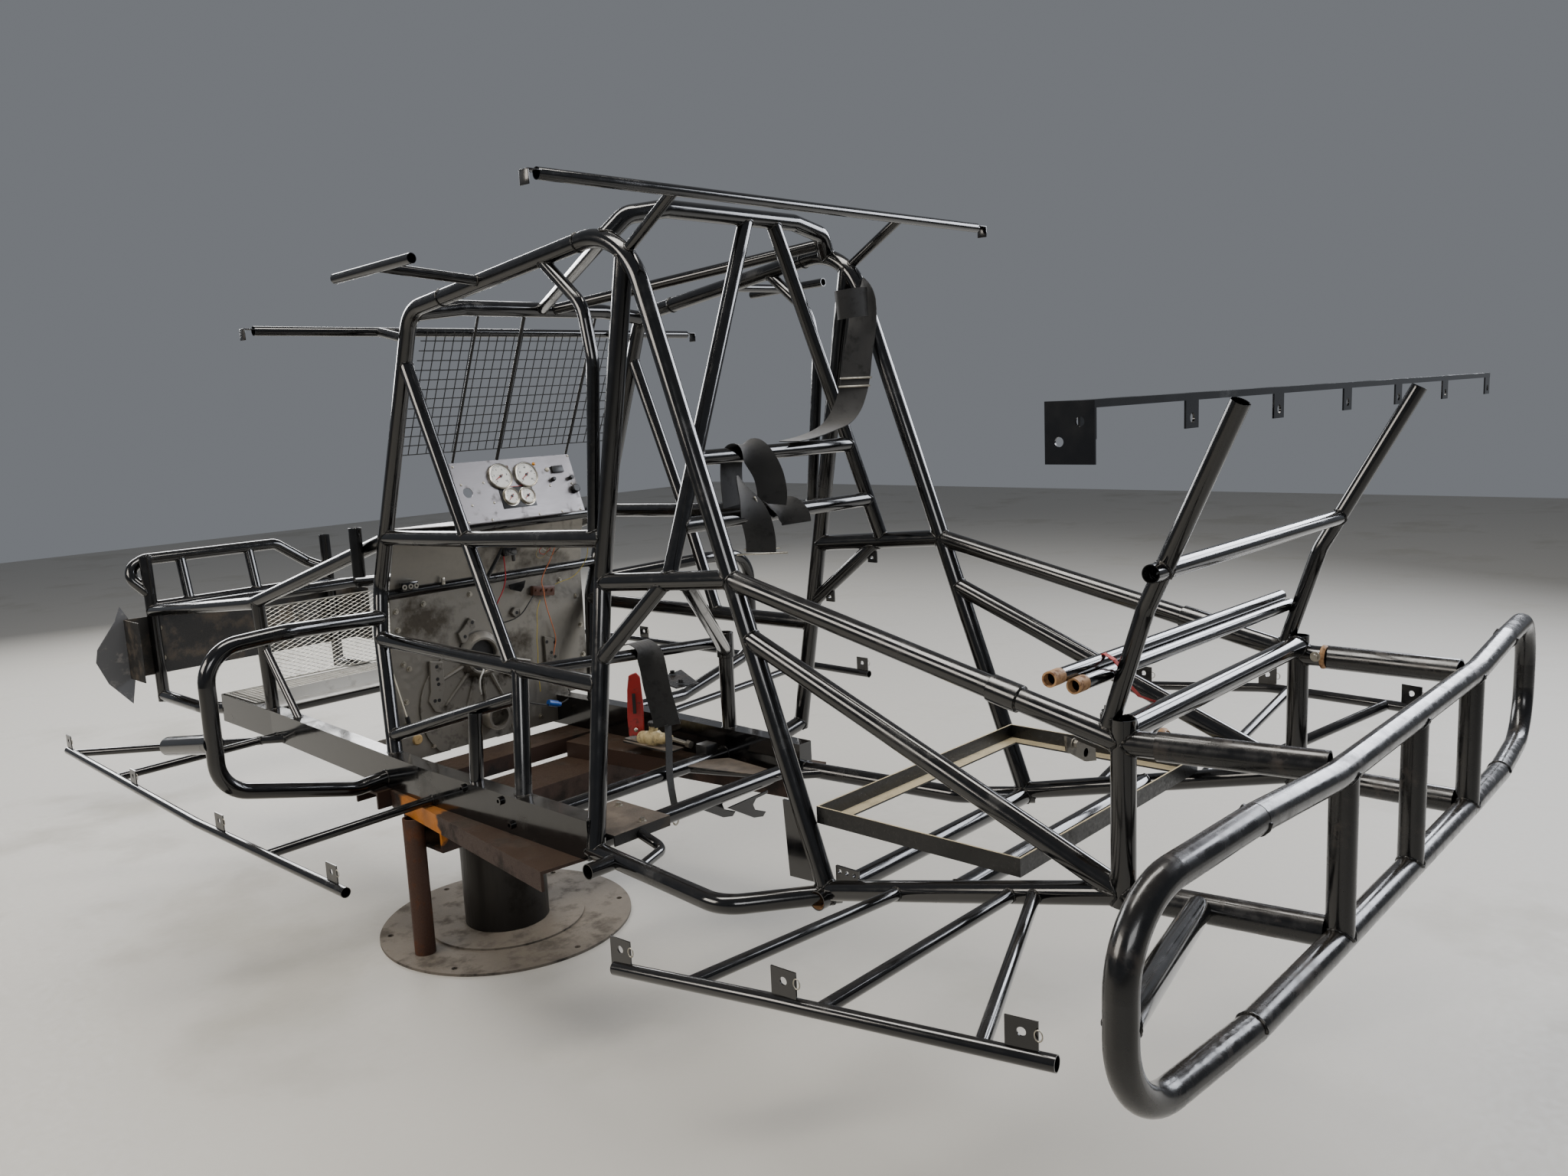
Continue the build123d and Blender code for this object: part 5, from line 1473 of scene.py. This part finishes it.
@dataclass
class Harness:
    """Two lap and shoulder belts left hanging on the seat back's bars.

    Attributes:
        width: The webbing's width.
        half_thick: Half its thickness.
        steps: How many rows a stretch between two points has.
    """

    width: float = 0.076
    half_thick: float = 0.0011
    steps: int = 6

    def strap(
        self, name: str, path: Sequence[Vector], across: Sequence[Vector], *replaced: str
    ) -> bpy.types.Object:
        """A run of webbing along a smooth line, which twists from one direction to the next.

        Args:
            name: The object's name.
            path: The points along its middle.
            across: The direction across it at each point.
            *replaced: CAD nodes that it stands for.

        Returns:
            The object.
        """
        piece = Piece(name, BLACK_WEBBING, Slot.BLACK_WEBBING, smooth=50)
        rows = self.rows(path, across)
        made = []
        for i, (point, side) in enumerate(rows):
            ahead = rows[min(i + 1, len(rows) - 1)][0] - rows[max(i - 1, 0)][0]
            side = (side - ahead * (side.dot(ahead) / ahead.length_squared)).normalized()
            lift = side.cross(ahead).normalized() * self.half_thick
            spots = [(s, -1) for s in (-0.5, -0.17, 0.17, 0.5)] + [(s, 1) for s in (0.5, 0.17, -0.17, -0.5)]
            made.append([piece.bm.verts.new(point + side * self.width * s + lift * t) for s, t in spots])
        for near, far in zip(made, made[1:]):
            for k in range(8):
                piece.bm.faces.new((near[k], near[(k + 1) % 8], far[(k + 1) % 8], far[k]))
        piece.bm.faces.new(made[0])
        piece.bm.faces.new(list(reversed(made[-1])))
        obj = piece.done(*replaced)
        return obj

    def rows(self, path: Sequence[Vector], across: Sequence[Vector]) -> list[tuple[Vector, Vector]]:
        """Points of the smooth line through the path, with the direction across at each.

        Args:
            path: The points that the line goes through.
            across: The direction across it at each of them.

        Returns:
            Each row's middle and its direction across.
        """
        rows = []
        for i in range(len(path) - 1):
            leaving = (path[i + 1] - path[max(i - 1, 0)]) * 0.5
            arriving = (path[min(i + 2, len(path) - 1)] - path[i]) * 0.5
            for k in range(self.steps):
                t = k / self.steps
                # The four weights of a cubic Hermite curve
                h00, h10 = 2 * t**3 - 3 * t**2 + 1, t**3 - 2 * t**2 + t
                h01, h11 = -2 * t**3 + 3 * t**2, t**3 - t**2
                point = path[i] * h00 + leaving * h10 + path[i + 1] * h01 + arriving * h11
                rows.append((point, across[i].lerp(across[i + 1], t)))
        rows.append((path[-1], across[-1]))
        return rows

    def build(self) -> None:
        """Hang both belts and put on their adjusters."""
        view = VIEW_RIGHT
        edge_on = Vector((0.72, 0.67, 0.0))
        folded = Vector((0.85, -0.52, 0.0))
        self.strap(
            "shoulder_belt_right",
            path_of(
                (-372, 1076, 1392), (-366, 1084, 1340), (-350, 1086, 1262), (-331, 1086, 1196),
                (-318, 1084, 1129), (-292, 1078, 1063), (-250, 1071, 1019), (-190, 1064, 996),
                (-130, 1056, 983), (-75, 1053, 977),
            ),
            (
                edge_on, Vector((-0.1, 0.99, 0.0)), view, view, view,
                Vector((-0.55, 0.83, 0.0)), Vector((-0.3, 0.95, 0.0)), REAR, REAR, REAR,
            ),
            "harness_belts",
        )
        self.strap(
            "shoulder_belt_left",
            path_of(
                (112, 1024, 826), (118, 1026, 900), (114, 1031, 958), (104, 1051, 978),
                (84, 1074, 962), (56, 1090, 912), (46, 1096, 862), (44, 1090, 826),
            ),
            (LEFT, LEFT, LEFT, LEFT, Vector((0.92, -0.4, 0.0)), -view, -view, -view),
        )
        self.strap(
            "belt_fold",
            path_of((34, 1050, 817), (24, 1072, 823), (6, 1100, 815), (-8, 1120, 792), (-10, 1124, 772)),
            (-view, folded, folded, -view, -view),
        )
        self.strap(
            "belt_wrap",
            path_of(
                (-356, 1104, 1336), (-330, 1100, 1335), (-300, 1086, 1331), (-286, 1066, 1328),
                (-292, 1048, 1328),
            ),
            (Vector((0.1, 0.0, 1.0)),) * 5,
        )
        self.strap(
            "lap_belt",
            path_of(
                (92, 566, 418), (90, 590, 424), (84, 618, 408), (76, 628, 360),
                (66, 630, 290), (48, 630, 224), (36, 630, 172),
            ),
            (LEFT, LEFT, LEFT, -view, -view, -view, -view),
        )
        self.strap(
            "belt_tail",
            path_of((152, 1080, 905), (140, 1092, 857), (110, 1096, 794), (92, 1092, 745), (88, 1088, 708)),
            (edge_on, edge_on.lerp(-view, 0.3), edge_on.lerp(-view, 0.7), -view, -view),
        )
        steel = Piece("belt_adjusters", ZINC_PLATE, Slot.BLACK_WEBBING)
        turn = Matrix((view, view.cross(UP) * -1, UP)).transposed()
        for centre, size in (
            (at(84, 1088, 704), (0.130, 0.008, 0.005)),
            (at(84, 1088, 716), (0.092, 0.006, 0.004)),
            (at(-319, 1085, 1134), (0.086, 0.007, 0.006)),
            (at(-312, 1084, 1112), (0.086, 0.007, 0.006)),
        ):
            steel.block(centre, size, turn, 0.0015)
        steel.block(at(98, 1092, 830), (0.005, 0.010, 0.046), Matrix.Rotation(0.5, 3, "Y"), 0.002)
        steel.done()


@dataclass
class UnderCage:
    """The strap and its wire loop, the pan by the right rail and its hooks."""

    def build(self) -> None:
        """Make the loose gear between the rails."""
        strap = Piece("hanging_webbing", BLACK_WEBBING, Slot.BLACK_WEBBING, smooth=50)
        path = path_of(
            (36, 632, 176), (38, 634, 120), (41, 633, 60), (38, 629, 20),
            (33, 627, -20), (26, 626, -60), (22, 625, -92),
        )
        width = 0.025
        strap.ribbon(path, width, 0.002, LEFT)
        obj = strap.done("hanging_strap")
        ring = [at(22 + 12 * math.cos(a), 625, -110 + 22 * math.sin(a)) for a in turns(10)]
        loop = curve_object("strap_loop", [ring], 0.0026, closed=True)
        place(loop, ZINC_PLATE)
        pan = Piece("seat_pan_plate", DUSTY_PAINT, Slot.DUSTY_BLACK)
        corners = ((-33, 556), (-33, 600), (-117, 916), (-152, 882), (-170, 664))
        pan.plate([at(x, y, 27.2) for x, y in corners], 0.003)
        pan.done()
        hooks = Piece("pan_hooks", BLACK_ENAMEL)
        hook = ((155, 8), (56, -49), (20, -56), (7, -45), (50, -27), (57, -10), (44, 3), (-4, 6), (-4, 14))
        for x, y, h in ((0, 858, 0), (-72, 906, -12)):
            hooks.plate([at(x + u, y, h + v) for u, v in hook], 0.006, 0.001)
        hooks.done()


@dataclass
class FloorControls:
    """The red lever with its cream joint, bolts and bracket."""

    def build(self) -> None:
        """Make the lever, which stands for the plain CAD lever."""
        face = Face(at(-120, 300, 50), -VIEW_RIGHT, UP)
        lever = Piece("red_lever", RED_PAINT, Slot.RED_PAINT)
        outline = ((24, 0), (-24, 0), (-26, 60), (-21, 150), (-14, 196), (10, 206), (22, 190), (27, 100))
        lever.plate([face.point(-u, v, 4) for u, v in outline], 0.008, 0.0015)
        lever.done("floor_lever")
        # Thin black plates on both faces where the slot is: painted shade for the dark opening through the
        # lever
        slot = Piece("red_lever_slot_shade", BLACK_INK_AND_SHADE, Slot.RED_PAINT)
        for out in (-4.6, 4.6):
            slot.block(face.point(0, 108, out), (0.011, 0.066, 0.0008), face.axes(), 0.0003)
        slot.done()
        bracket = Piece("lever_bracket", DUSTY_PAINT, Slot.DUSTY_BLACK)
        bracket.block(at(-165, 300, 41), (0.134, 0.07, 0.006), None, 0.001)
        bracket.block(at(-118, 380, 36), (0.06, 0.22, 0.006), None, 0.001)
        bracket.done()
        steel = Piece("lever_bolts", ZINC_PLATE, Slot.RED_PAINT)
        dome(steel, face.point(0, 22, -4), -face.out, 7)
        dome(steel, face.point(0, 22, 4), face.out, 7)
        steel.rod(at(-118, 470, 70), at(-118, 540, 66), 0.0065, sides=14)
        steel.rod(at(-118, 540, 66), at(-118, 556, 65), 0.012, sides=6)
        steel.done()
        joint = Piece("lever_joint", CREAM_CASTING, Slot.RED_PAINT)
        foot = at(-118, 324, 50)
        cup = ((0.0, 0.0), (0.018, 0.0), (0.022, 0.006), (0.022, 0.034), (0.014, 0.038), (0.014, 0.046))
        collar = ((0.026, 0.05), (0.026, 0.078), (0.018, 0.084), (0.018, 0.108))
        stem = ((0.012, 0.116), (0.012, 0.144), (0.0, 0.146))
        joint.turned(foot, (at(-118, 470, 70) - foot).normalized(), (*cup, *collar, *stem), 32)
        joint.rod(at(-118, 384, 58), at(-118, 388, 100), 0.014, sides=20)
        joint.done()
        cap = Piece("lever_joint_cap", BLACK_INK_AND_SHADE, Slot.RED_PAINT)
        cap.rod(at(-118, 388, 100), at(-118, 388.5, 112), 0.017, sides=24)
        cap.block(at(-150, 590, 44), (0.05, 0.05, 0.05), None, 0.006)
        cap.done()


@dataclass
class SmallSteel:
    """Bolts, tab springs and the end brackets of the roof bars.

    Attributes:
        bolt: Millimetres across the flats of the frame's bolts.
    """

    bolt: float = 13

    def build(self) -> None:
        """Make the small parts that are fastened to the frame."""
        bolts = Piece("frame_bolts", ZINC_PLATE)
        sleeves = path_of((413, 2293, 477), (-370, 2290, 487), (413, 2293, 204), (-370, 2290, 204))
        platform = path_of((430, 790, 58), (360, 790, 58), (400, 930, 58))
        nose = path_of((500, -1842, 300), (500, -1838, 180), (-200, -1842, 300), (-200, -1838, 180))
        for points, out in ((sleeves, LEFT), (platform, UP), (nose, -REAR)):
            for point in points:
                hex_bolt(bolts, point, out, self.bolt)
        bolts.done()
        self.bare_ends()
        ends = Piece("roof_bar_brackets", WORN_ENAMEL)
        for half, y, h in ((789, -80, 1330), (768, 1184, 1546)):
            for side in (1, -1):
                ends.block(at(side * (half + 14), y, h + 4), (0.034, 0.030, 0.003), None, 0.001)
                ends.block(at(side * (half + 30), y, h - 10), (0.003, 0.030, 0.030), None, 0.001)
        ends.done()
        self.tab_springs()
        self.clip_fittings()

    def clip_fittings(self) -> None:
        """The plate and rod end on the left upper clip tube, and the seat bracket's top plate."""
        plate = Piece("clip_plate", CAST_IRON)
        outer = ((287, 432), (174, 380), (170, 354), (210, 362), (283, 401), (287, 432))
        # The outline runs in to the hole and round it against its own direction
        angles = [math.radians(34 - 30 * step) for step in range(13)]
        hole = [(212 + 9 * math.cos(angle), 381 + 9 * math.sin(angle)) for angle in angles]
        plate.plate([at(x, 2060, h) for x, h in (*outer, *hole)], 0.005, 0.0)
        hex_bolt(plate, at(270, 2066, 414), REAR, self.bolt)
        plate.done()
        rod_end = Piece("clip_rod_end", WORN_ENAMEL)
        eye = ((0.009, 0.0), (0.009, 0.016), (0.014, 0.022), (0.014, 0.036), (0.008, 0.042))
        rod_end.turned(at(295, 2150, 455), UP, eye, 24)
        hex_bolt(rod_end, at(295, 2150, 497), UP, self.bolt)
        rod_end.done()
        bracket = Piece("seat_bracket_plate", WORN_ENAMEL)
        bracket.plate(path_of((-116, 411, 250), (-257, 377, 250), (-161, 559, 250), (-79, 548, 250)), 0.004)
        for x, y in ((-190, 410), (-120, 525)):
            hex_bolt(bracket, at(x, y, 254), UP, self.bolt)
        bracket.done()

    def bare_ends(self) -> None:
        """Tube ends left bare at the saw, rust at the sleeves and the red tie."""
        tan = Piece("bare_tube_ends", BARE_CUT)
        sawn = ((0.0132, 0.0), (0.0136, 0.002), (0.0136, 0.0343), (0.0105, 0.0343), (0.0105, 0.02))
        for foot in path_of((495, 2212, 600), (541, 2193.5, 618.5)):
            tan.turned(foot, LEFT, sawn, 28)
        rust = ((0.0223, 0.006), (0.0262, 0.001), (0.0262, -0.003), (0.0253, -0.004))
        for x in (387.5, -395.2):
            for h in (482.96, 210.1):
                tan.turned(at(x, 2301, h), REAR, rust, 36)
        tan.done()
        foot = at(424, 1546, 22)
        stub = Piece("cross_tube_stub", BLACK_ENAMEL)
        stub.turned(foot, LEFT, ((0.0222, 0.0), (0.0222, 0.02), (0.0198, 0.02), (0.0198, 0.001)), 36)
        stub.done()
        bore = Piece("cross_tube_bore", BARE_CUT)
        bore.turned(foot, LEFT, ((0.0197, 0.019), (0.0197, 0.0), (0.0, 0.0)), 36)
        bore.done()
        tie = Piece("red_tie", RED_CORD, Slot.RED_PAINT)
        path = path_of(
            (398, 2176, 606), (398, 2186, 624), (400, 2200, 630), (406, 2222, 622),
            (400, 2233, 604), (385, 2236, 578), (338, 2234, 545), (246, 2226, 512),
        )
        width = 0.011
        tie.ribbon(path, width, 0.0016, LEFT)
        tie.done()

    def tab_springs(self) -> None:
        """The wire clips at the rear edge of each upright tab."""
        ahead = ((1009, -1345, 5), (1028, -702, 5), (1042, -49, 5))
        behind = ((1009, 1583, 102), (985, 1956, 150), (910, 2340, 163))
        lines = []
        # The right side's supports sit higher, and its fourth tab is further forward
        for side, lift, fourth in ((1, 0.0, 553), (-1, 90.0, 488)):
            for x, y, h in (*ahead, (1033, fourth, 5), *behind):
                rear, middle = y + 27, h + lift + 40
                lines.append(
                    [at(side * x, rear + 7 * math.cos(a), middle + 9 * math.sin(a)) for a in turns(8)]
                )
        springs = curve_object("tab_springs", lines, 0.0011, closed=True)
        place(springs, ZINC_PLATE)


# The CAD nodes whose tube ends are welded
TUBE_NODES = (
    "a_pillars", "b_pillars", "c_pillars", "roof_rails", "cage_cross_tubes", "roof_braces", "waist_bars",
    "window_frame_tubes", "door_mid_bars", "door_diagonals", "rail_posts", "side_braces",
    "seat_back_legs", "side_guard_bars", "rail_cross_members", "front_posts", "front_subframe_tubes",
    "front_upper_rails", "front_uprights", "front_hoop", "clip_tubes", "clip_posts",
    "clip_cross_tubes", "clip_lowers", "clip_uppers", "clip_diagonals", "bumper_runs", "bumper_ends",
    "bumper_uprights", "deck_posts", "deck_cross_tubes", "support_arms", "roof_mount_arms",
    "rail_end_tubes",
)


@dataclass
class WeldBeads:
    """Beads along the outer rim of every coped tube end that meets another tube.

    Attributes:
        reach: How near another tube a rim has to be to carry a bead.
        radius: Half the bead's width.
        sharp: The least angle, in degrees, between the faces at a rim.
        bore: The widest bore; a face that sees its own tube within it lies inside.
        shortest: The shortest rim that carries a bead.
        ripple: The step between a bead's points.
    """

    reach: float = 0.0008
    radius: float = 0.0028
    sharp: float = 40
    bore: float = 0.062
    shortest: float = 0.02
    ripple: float = 0.0035

    def build(self) -> int:
        """Find the rims and lay a bead on each.

        Returns:
            How many beads were laid.
        """
        verts: list[Vector] = []
        faces: list[tuple[int, ...]] = []
        island_of: list[int] = []
        meshes = []
        islands = 0
        for name in (*TUBE_NODES, "frame_rails"):
            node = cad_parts.get(name)
            if node is None:
                continue
            bm = bmesh.new()
            bm.from_mesh(node.data)
            bmesh.ops.remove_doubles(bm, verts=bm.verts, dist=2e-5)
            bm.faces.ensure_lookup_table()
            bm.verts.ensure_lookup_table()
            base = len(verts)
            verts.extend(v.co.copy() for v in bm.verts)
            seen: dict[int, int] = {}
            for face in bm.faces:
                if face.index in seen:
                    continue
                islands += 1
                stack = [face]
                seen[face.index] = islands
                while stack:
                    for edge in stack.pop().edges:
                        for other in edge.link_faces:
                            if other.index not in seen:
                                seen[other.index] = islands
                                stack.append(other)
            faces.extend(tuple(base + v.index for v in f.verts) for f in bm.faces)
            island_of.extend(seen[f.index] for f in bm.faces)
            meshes.append((name, bm, seen))
        tree = BVHTree.FromPolygons(verts, faces)
        lines: list[list[Vector]] = []
        for name, bm, seen in meshes:
            if name != "frame_rails":
                lines.extend(self.rims(bm, seen, tree, island_of))
            bm.free()
        half = len(lines) // 2
        for index, batch in enumerate((lines[:half], lines[half:])):
            self.lay(f"weld_beads_{index}", batch)
        return len(lines)

    def rims(
        self, bm: bmesh.types.BMesh, seen: dict[int, int], tree: BVHTree, island_of: list[int]
    ) -> list[list[Vector]]:
        """The rims of one node's tubes that lie against another tube.

        Args:
            bm: The node's mesh, its corners merged.
            seen: The tube that each of the mesh's faces belongs to.
            tree: Every tube of the frame.
            island_of: The tube that each of the tree's faces belongs to.

        Returns:
            The rims as runs of points.
        """
        chosen = []
        for edge in bm.edges:
            if len(edge.link_faces) != 2 or edge.calc_face_angle(0.0) < math.radians(self.sharp):
                continue
            middle = (edge.verts[0].co + edge.verts[1].co) / 2
            own = seen[edge.link_faces[0].index]
            inner = False
            for face in edge.link_faces:
                start = middle + face.normal * 0.0004
                _, _, index, _ = tree.ray_cast(start, face.normal, self.bore)
                if index is not None and island_of[index] == own:
                    inner = True
                    break
            if inner:
                continue
            near = tree.find_nearest_range(middle, self.reach)
            if any(island_of[index] != own for _, _, index, _ in near):
                chosen.append(edge)
        return self.chains(chosen)

    def chains(self, edges: Sequence[bmesh.types.BMEdge]) -> list[list[Vector]]:
        """Join edges that share corners into runs of points."""
        at_corner: dict[int, list] = {}
        for edge in edges:
            for vert in edge.verts:
                at_corner.setdefault(vert.index, []).append(edge)
        used = set()
        runs = []
        for edge in edges:
            if edge.index in used:
                continue
            used.add(edge.index)
            run = [edge.verts[0], edge.verts[1]]
            for end in (1, 0):
                while True:
                    tip = run[-1] if end else run[0]
                    following = [e for e in at_corner[tip.index] if e.index not in used]
                    if not following:
                        break
                    used.add(following[0].index)
                    other = following[0].other_vert(tip)
                    run.append(other) if end else run.insert(0, other)
            points = [v.co.copy() for v in run]
            if run_length(points) > self.shortest:
                runs.append(points)
        return runs

    def lay(self, name: str, lines: Sequence[Sequence[Vector]]) -> None:
        """Turn runs of points into rippled beads."""
        curve = bpy.data.curves.new(name, "CURVE")
        curve.dimensions = "3D"
        curve.bevel_depth = self.radius
        curve.bevel_resolution = 1
        curve.use_fill_caps = True
        for line in lines:
            points = self.spaced(line, self.ripple)
            spline = curve.splines.new("POLY")
            spline.points.add(len(points) - 1)
            for i, (point, co) in enumerate(zip(spline.points, points)):
                point.co = (*co, 1.0)
                point.radius = 1.0 + 0.16 * math.sin(i * 2.1)
        obj = bpy.data.objects.new(name, curve)
        place(obj, WELD_METAL)

    def spaced(self, line: Sequence[Vector], step: float) -> list[Vector]:
        """The same run with its points at even steps."""
        points = [line[0]]
        left = step
        for a, b in zip(line, line[1:]):
            run = (b - a).length
            if run < 1e-9:
                continue
            along = left
            while along <= run:
                points.append(a.lerp(b, along / run))
                along += step
            left = along - run
        points.append(line[-1])
        return points


@dataclass
class Studio:
    """The camera where the photographer stood, a pale floor and soft lights."""

    def build(self) -> None:
        """Set up the camera, floor, world and lights."""
        self.camera()
        self.floor()
        world = bpy.data.worlds.new("studio_world")
        world.use_nodes = True
        world.node_tree.nodes["Background"].inputs["Color"].default_value = rgb("#c9ced6")
        world.node_tree.nodes["Background"].inputs["Strength"].default_value = 0.3
        bpy.context.scene.world = world
        centre = Vector((0.1, 0.1, 0.9))
        for name, spot, size, watts, colour in (
            ("window_light", (-5.2, 2.6, 3.6), (5.0, 2.4), 420, "#f2f6ff"),
            ("door_light", (-1.5, -6.5, 3.2), (5.5, 2.6), 380, "#ffffff"),
            ("left_light", (5.5, -1.8, 3.4), (3.5, 2.0), 210, "#fff6ea"),
            ("roof_light", (0.4, 0.6, 5.2), (4.6, 1.2), 240, "#fffaf2"),
            ("camera_fill", (4.2, 5.0, 3.4), (2.6, 1.6), 80, "#ffffff"),
        ):
            light = bpy.data.lights.new(name, "AREA")
            light.shape = "RECTANGLE"
            light.size, light.size_y = size
            light.energy = watts
            light.color = rgb(colour)[:3]
            lamp = bpy.data.objects.new(name, light)
            turn = (centre - Vector(spot)).to_track_quat("-Z", "Y")
            lamp.matrix_world = Matrix.Translation(spot) @ turn.to_matrix().to_4x4()
            bpy.context.scene.collection.objects.link(lamp)

    def camera(self) -> None:
        """The camera, solved from the cage's own lines."""
        data = bpy.data.cameras.new("photo_camera")
        data.sensor_fit = "HORIZONTAL"
        data.sensor_width = 36.0
        data.lens = 27.705
        data.clip_end = 100.0
        camera = bpy.data.objects.new("photo_camera", data)
        right = Vector((-0.67488727, 0.73652604, -0.04534937))
        down = Vector((0.14581844, 0.07286669, -0.98662426))
        ahead = Vector((-0.72337, -0.67247292, -0.15657588))
        turn = Matrix((right, -down, -ahead)).transposed()
        camera.matrix_world = Matrix.Translation((2.266, 2.836, 1.563)) @ turn.to_4x4()
        bpy.context.scene.collection.objects.link(camera)
        bpy.context.scene.camera = camera

    def floor(self) -> None:
        """A level, pale floor at the lift's foot."""
        bm = bmesh.new()
        bmesh.ops.create_grid(bm, x_segments=1, y_segments=1, size=14.0)
        mesh = bpy.data.meshes.new("studio_floor")
        bm.to_mesh(mesh)
        bm.free()
        floor = bpy.data.objects.new("studio_floor", mesh)
        bpy.context.scene.collection.objects.link(floor)
        mesh.materials.append(PALE_FLOOR.build())
        floor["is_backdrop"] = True


def dress_nodes() -> None:
    """Give every CAD node its finish."""
    for name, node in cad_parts.items():
        finish = NODE_FINISH.get(name, BLACK_ENAMEL)
        node.data.materials.clear()
        node.data.materials.append(finish.build())
    rust_the_leg(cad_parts["lift_columns"])


def rust_the_leg(columns: bpy.types.Object) -> None:
    """Give the leg beside the ram its own rust; both are in one CAD node."""
    columns.data.materials.append(RUSTY_PIPE.build())
    for polygon in columns.data.polygons:
        if polygon.center.x > 0.5:
            polygon.material_index = 1


def main() -> None:
    """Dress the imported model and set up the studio."""
    logging.basicConfig(level=logging.INFO, format="%(name)s: %(message)s")
    cad_box = [v.copy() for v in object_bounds()]
    dress_nodes()
    WindscreenScreen().build()
    upright = Face(at(490, -953, 190), -LEFT, UP)
    ExpandedMetal("rock_screen_mesh", upright, (680.0, 262.0)).build("rock_screen")
    level = Face(at(-190, -1300, 104.5), LEFT, REAR)
    ExpandedMetal("rock_screen_floor", level, (680.0, 255.0)).build()
    Instruments().build()
    FirewallParts().build()
    Wiring().build()
    Harness().build()
    UnderCage().build()
    FloorControls().build()
    SmallSteel().build()
    LOG.info("%d weld beads", WeldBeads().build())
    Studio().build()


if __name__ == "__main__":
    main()
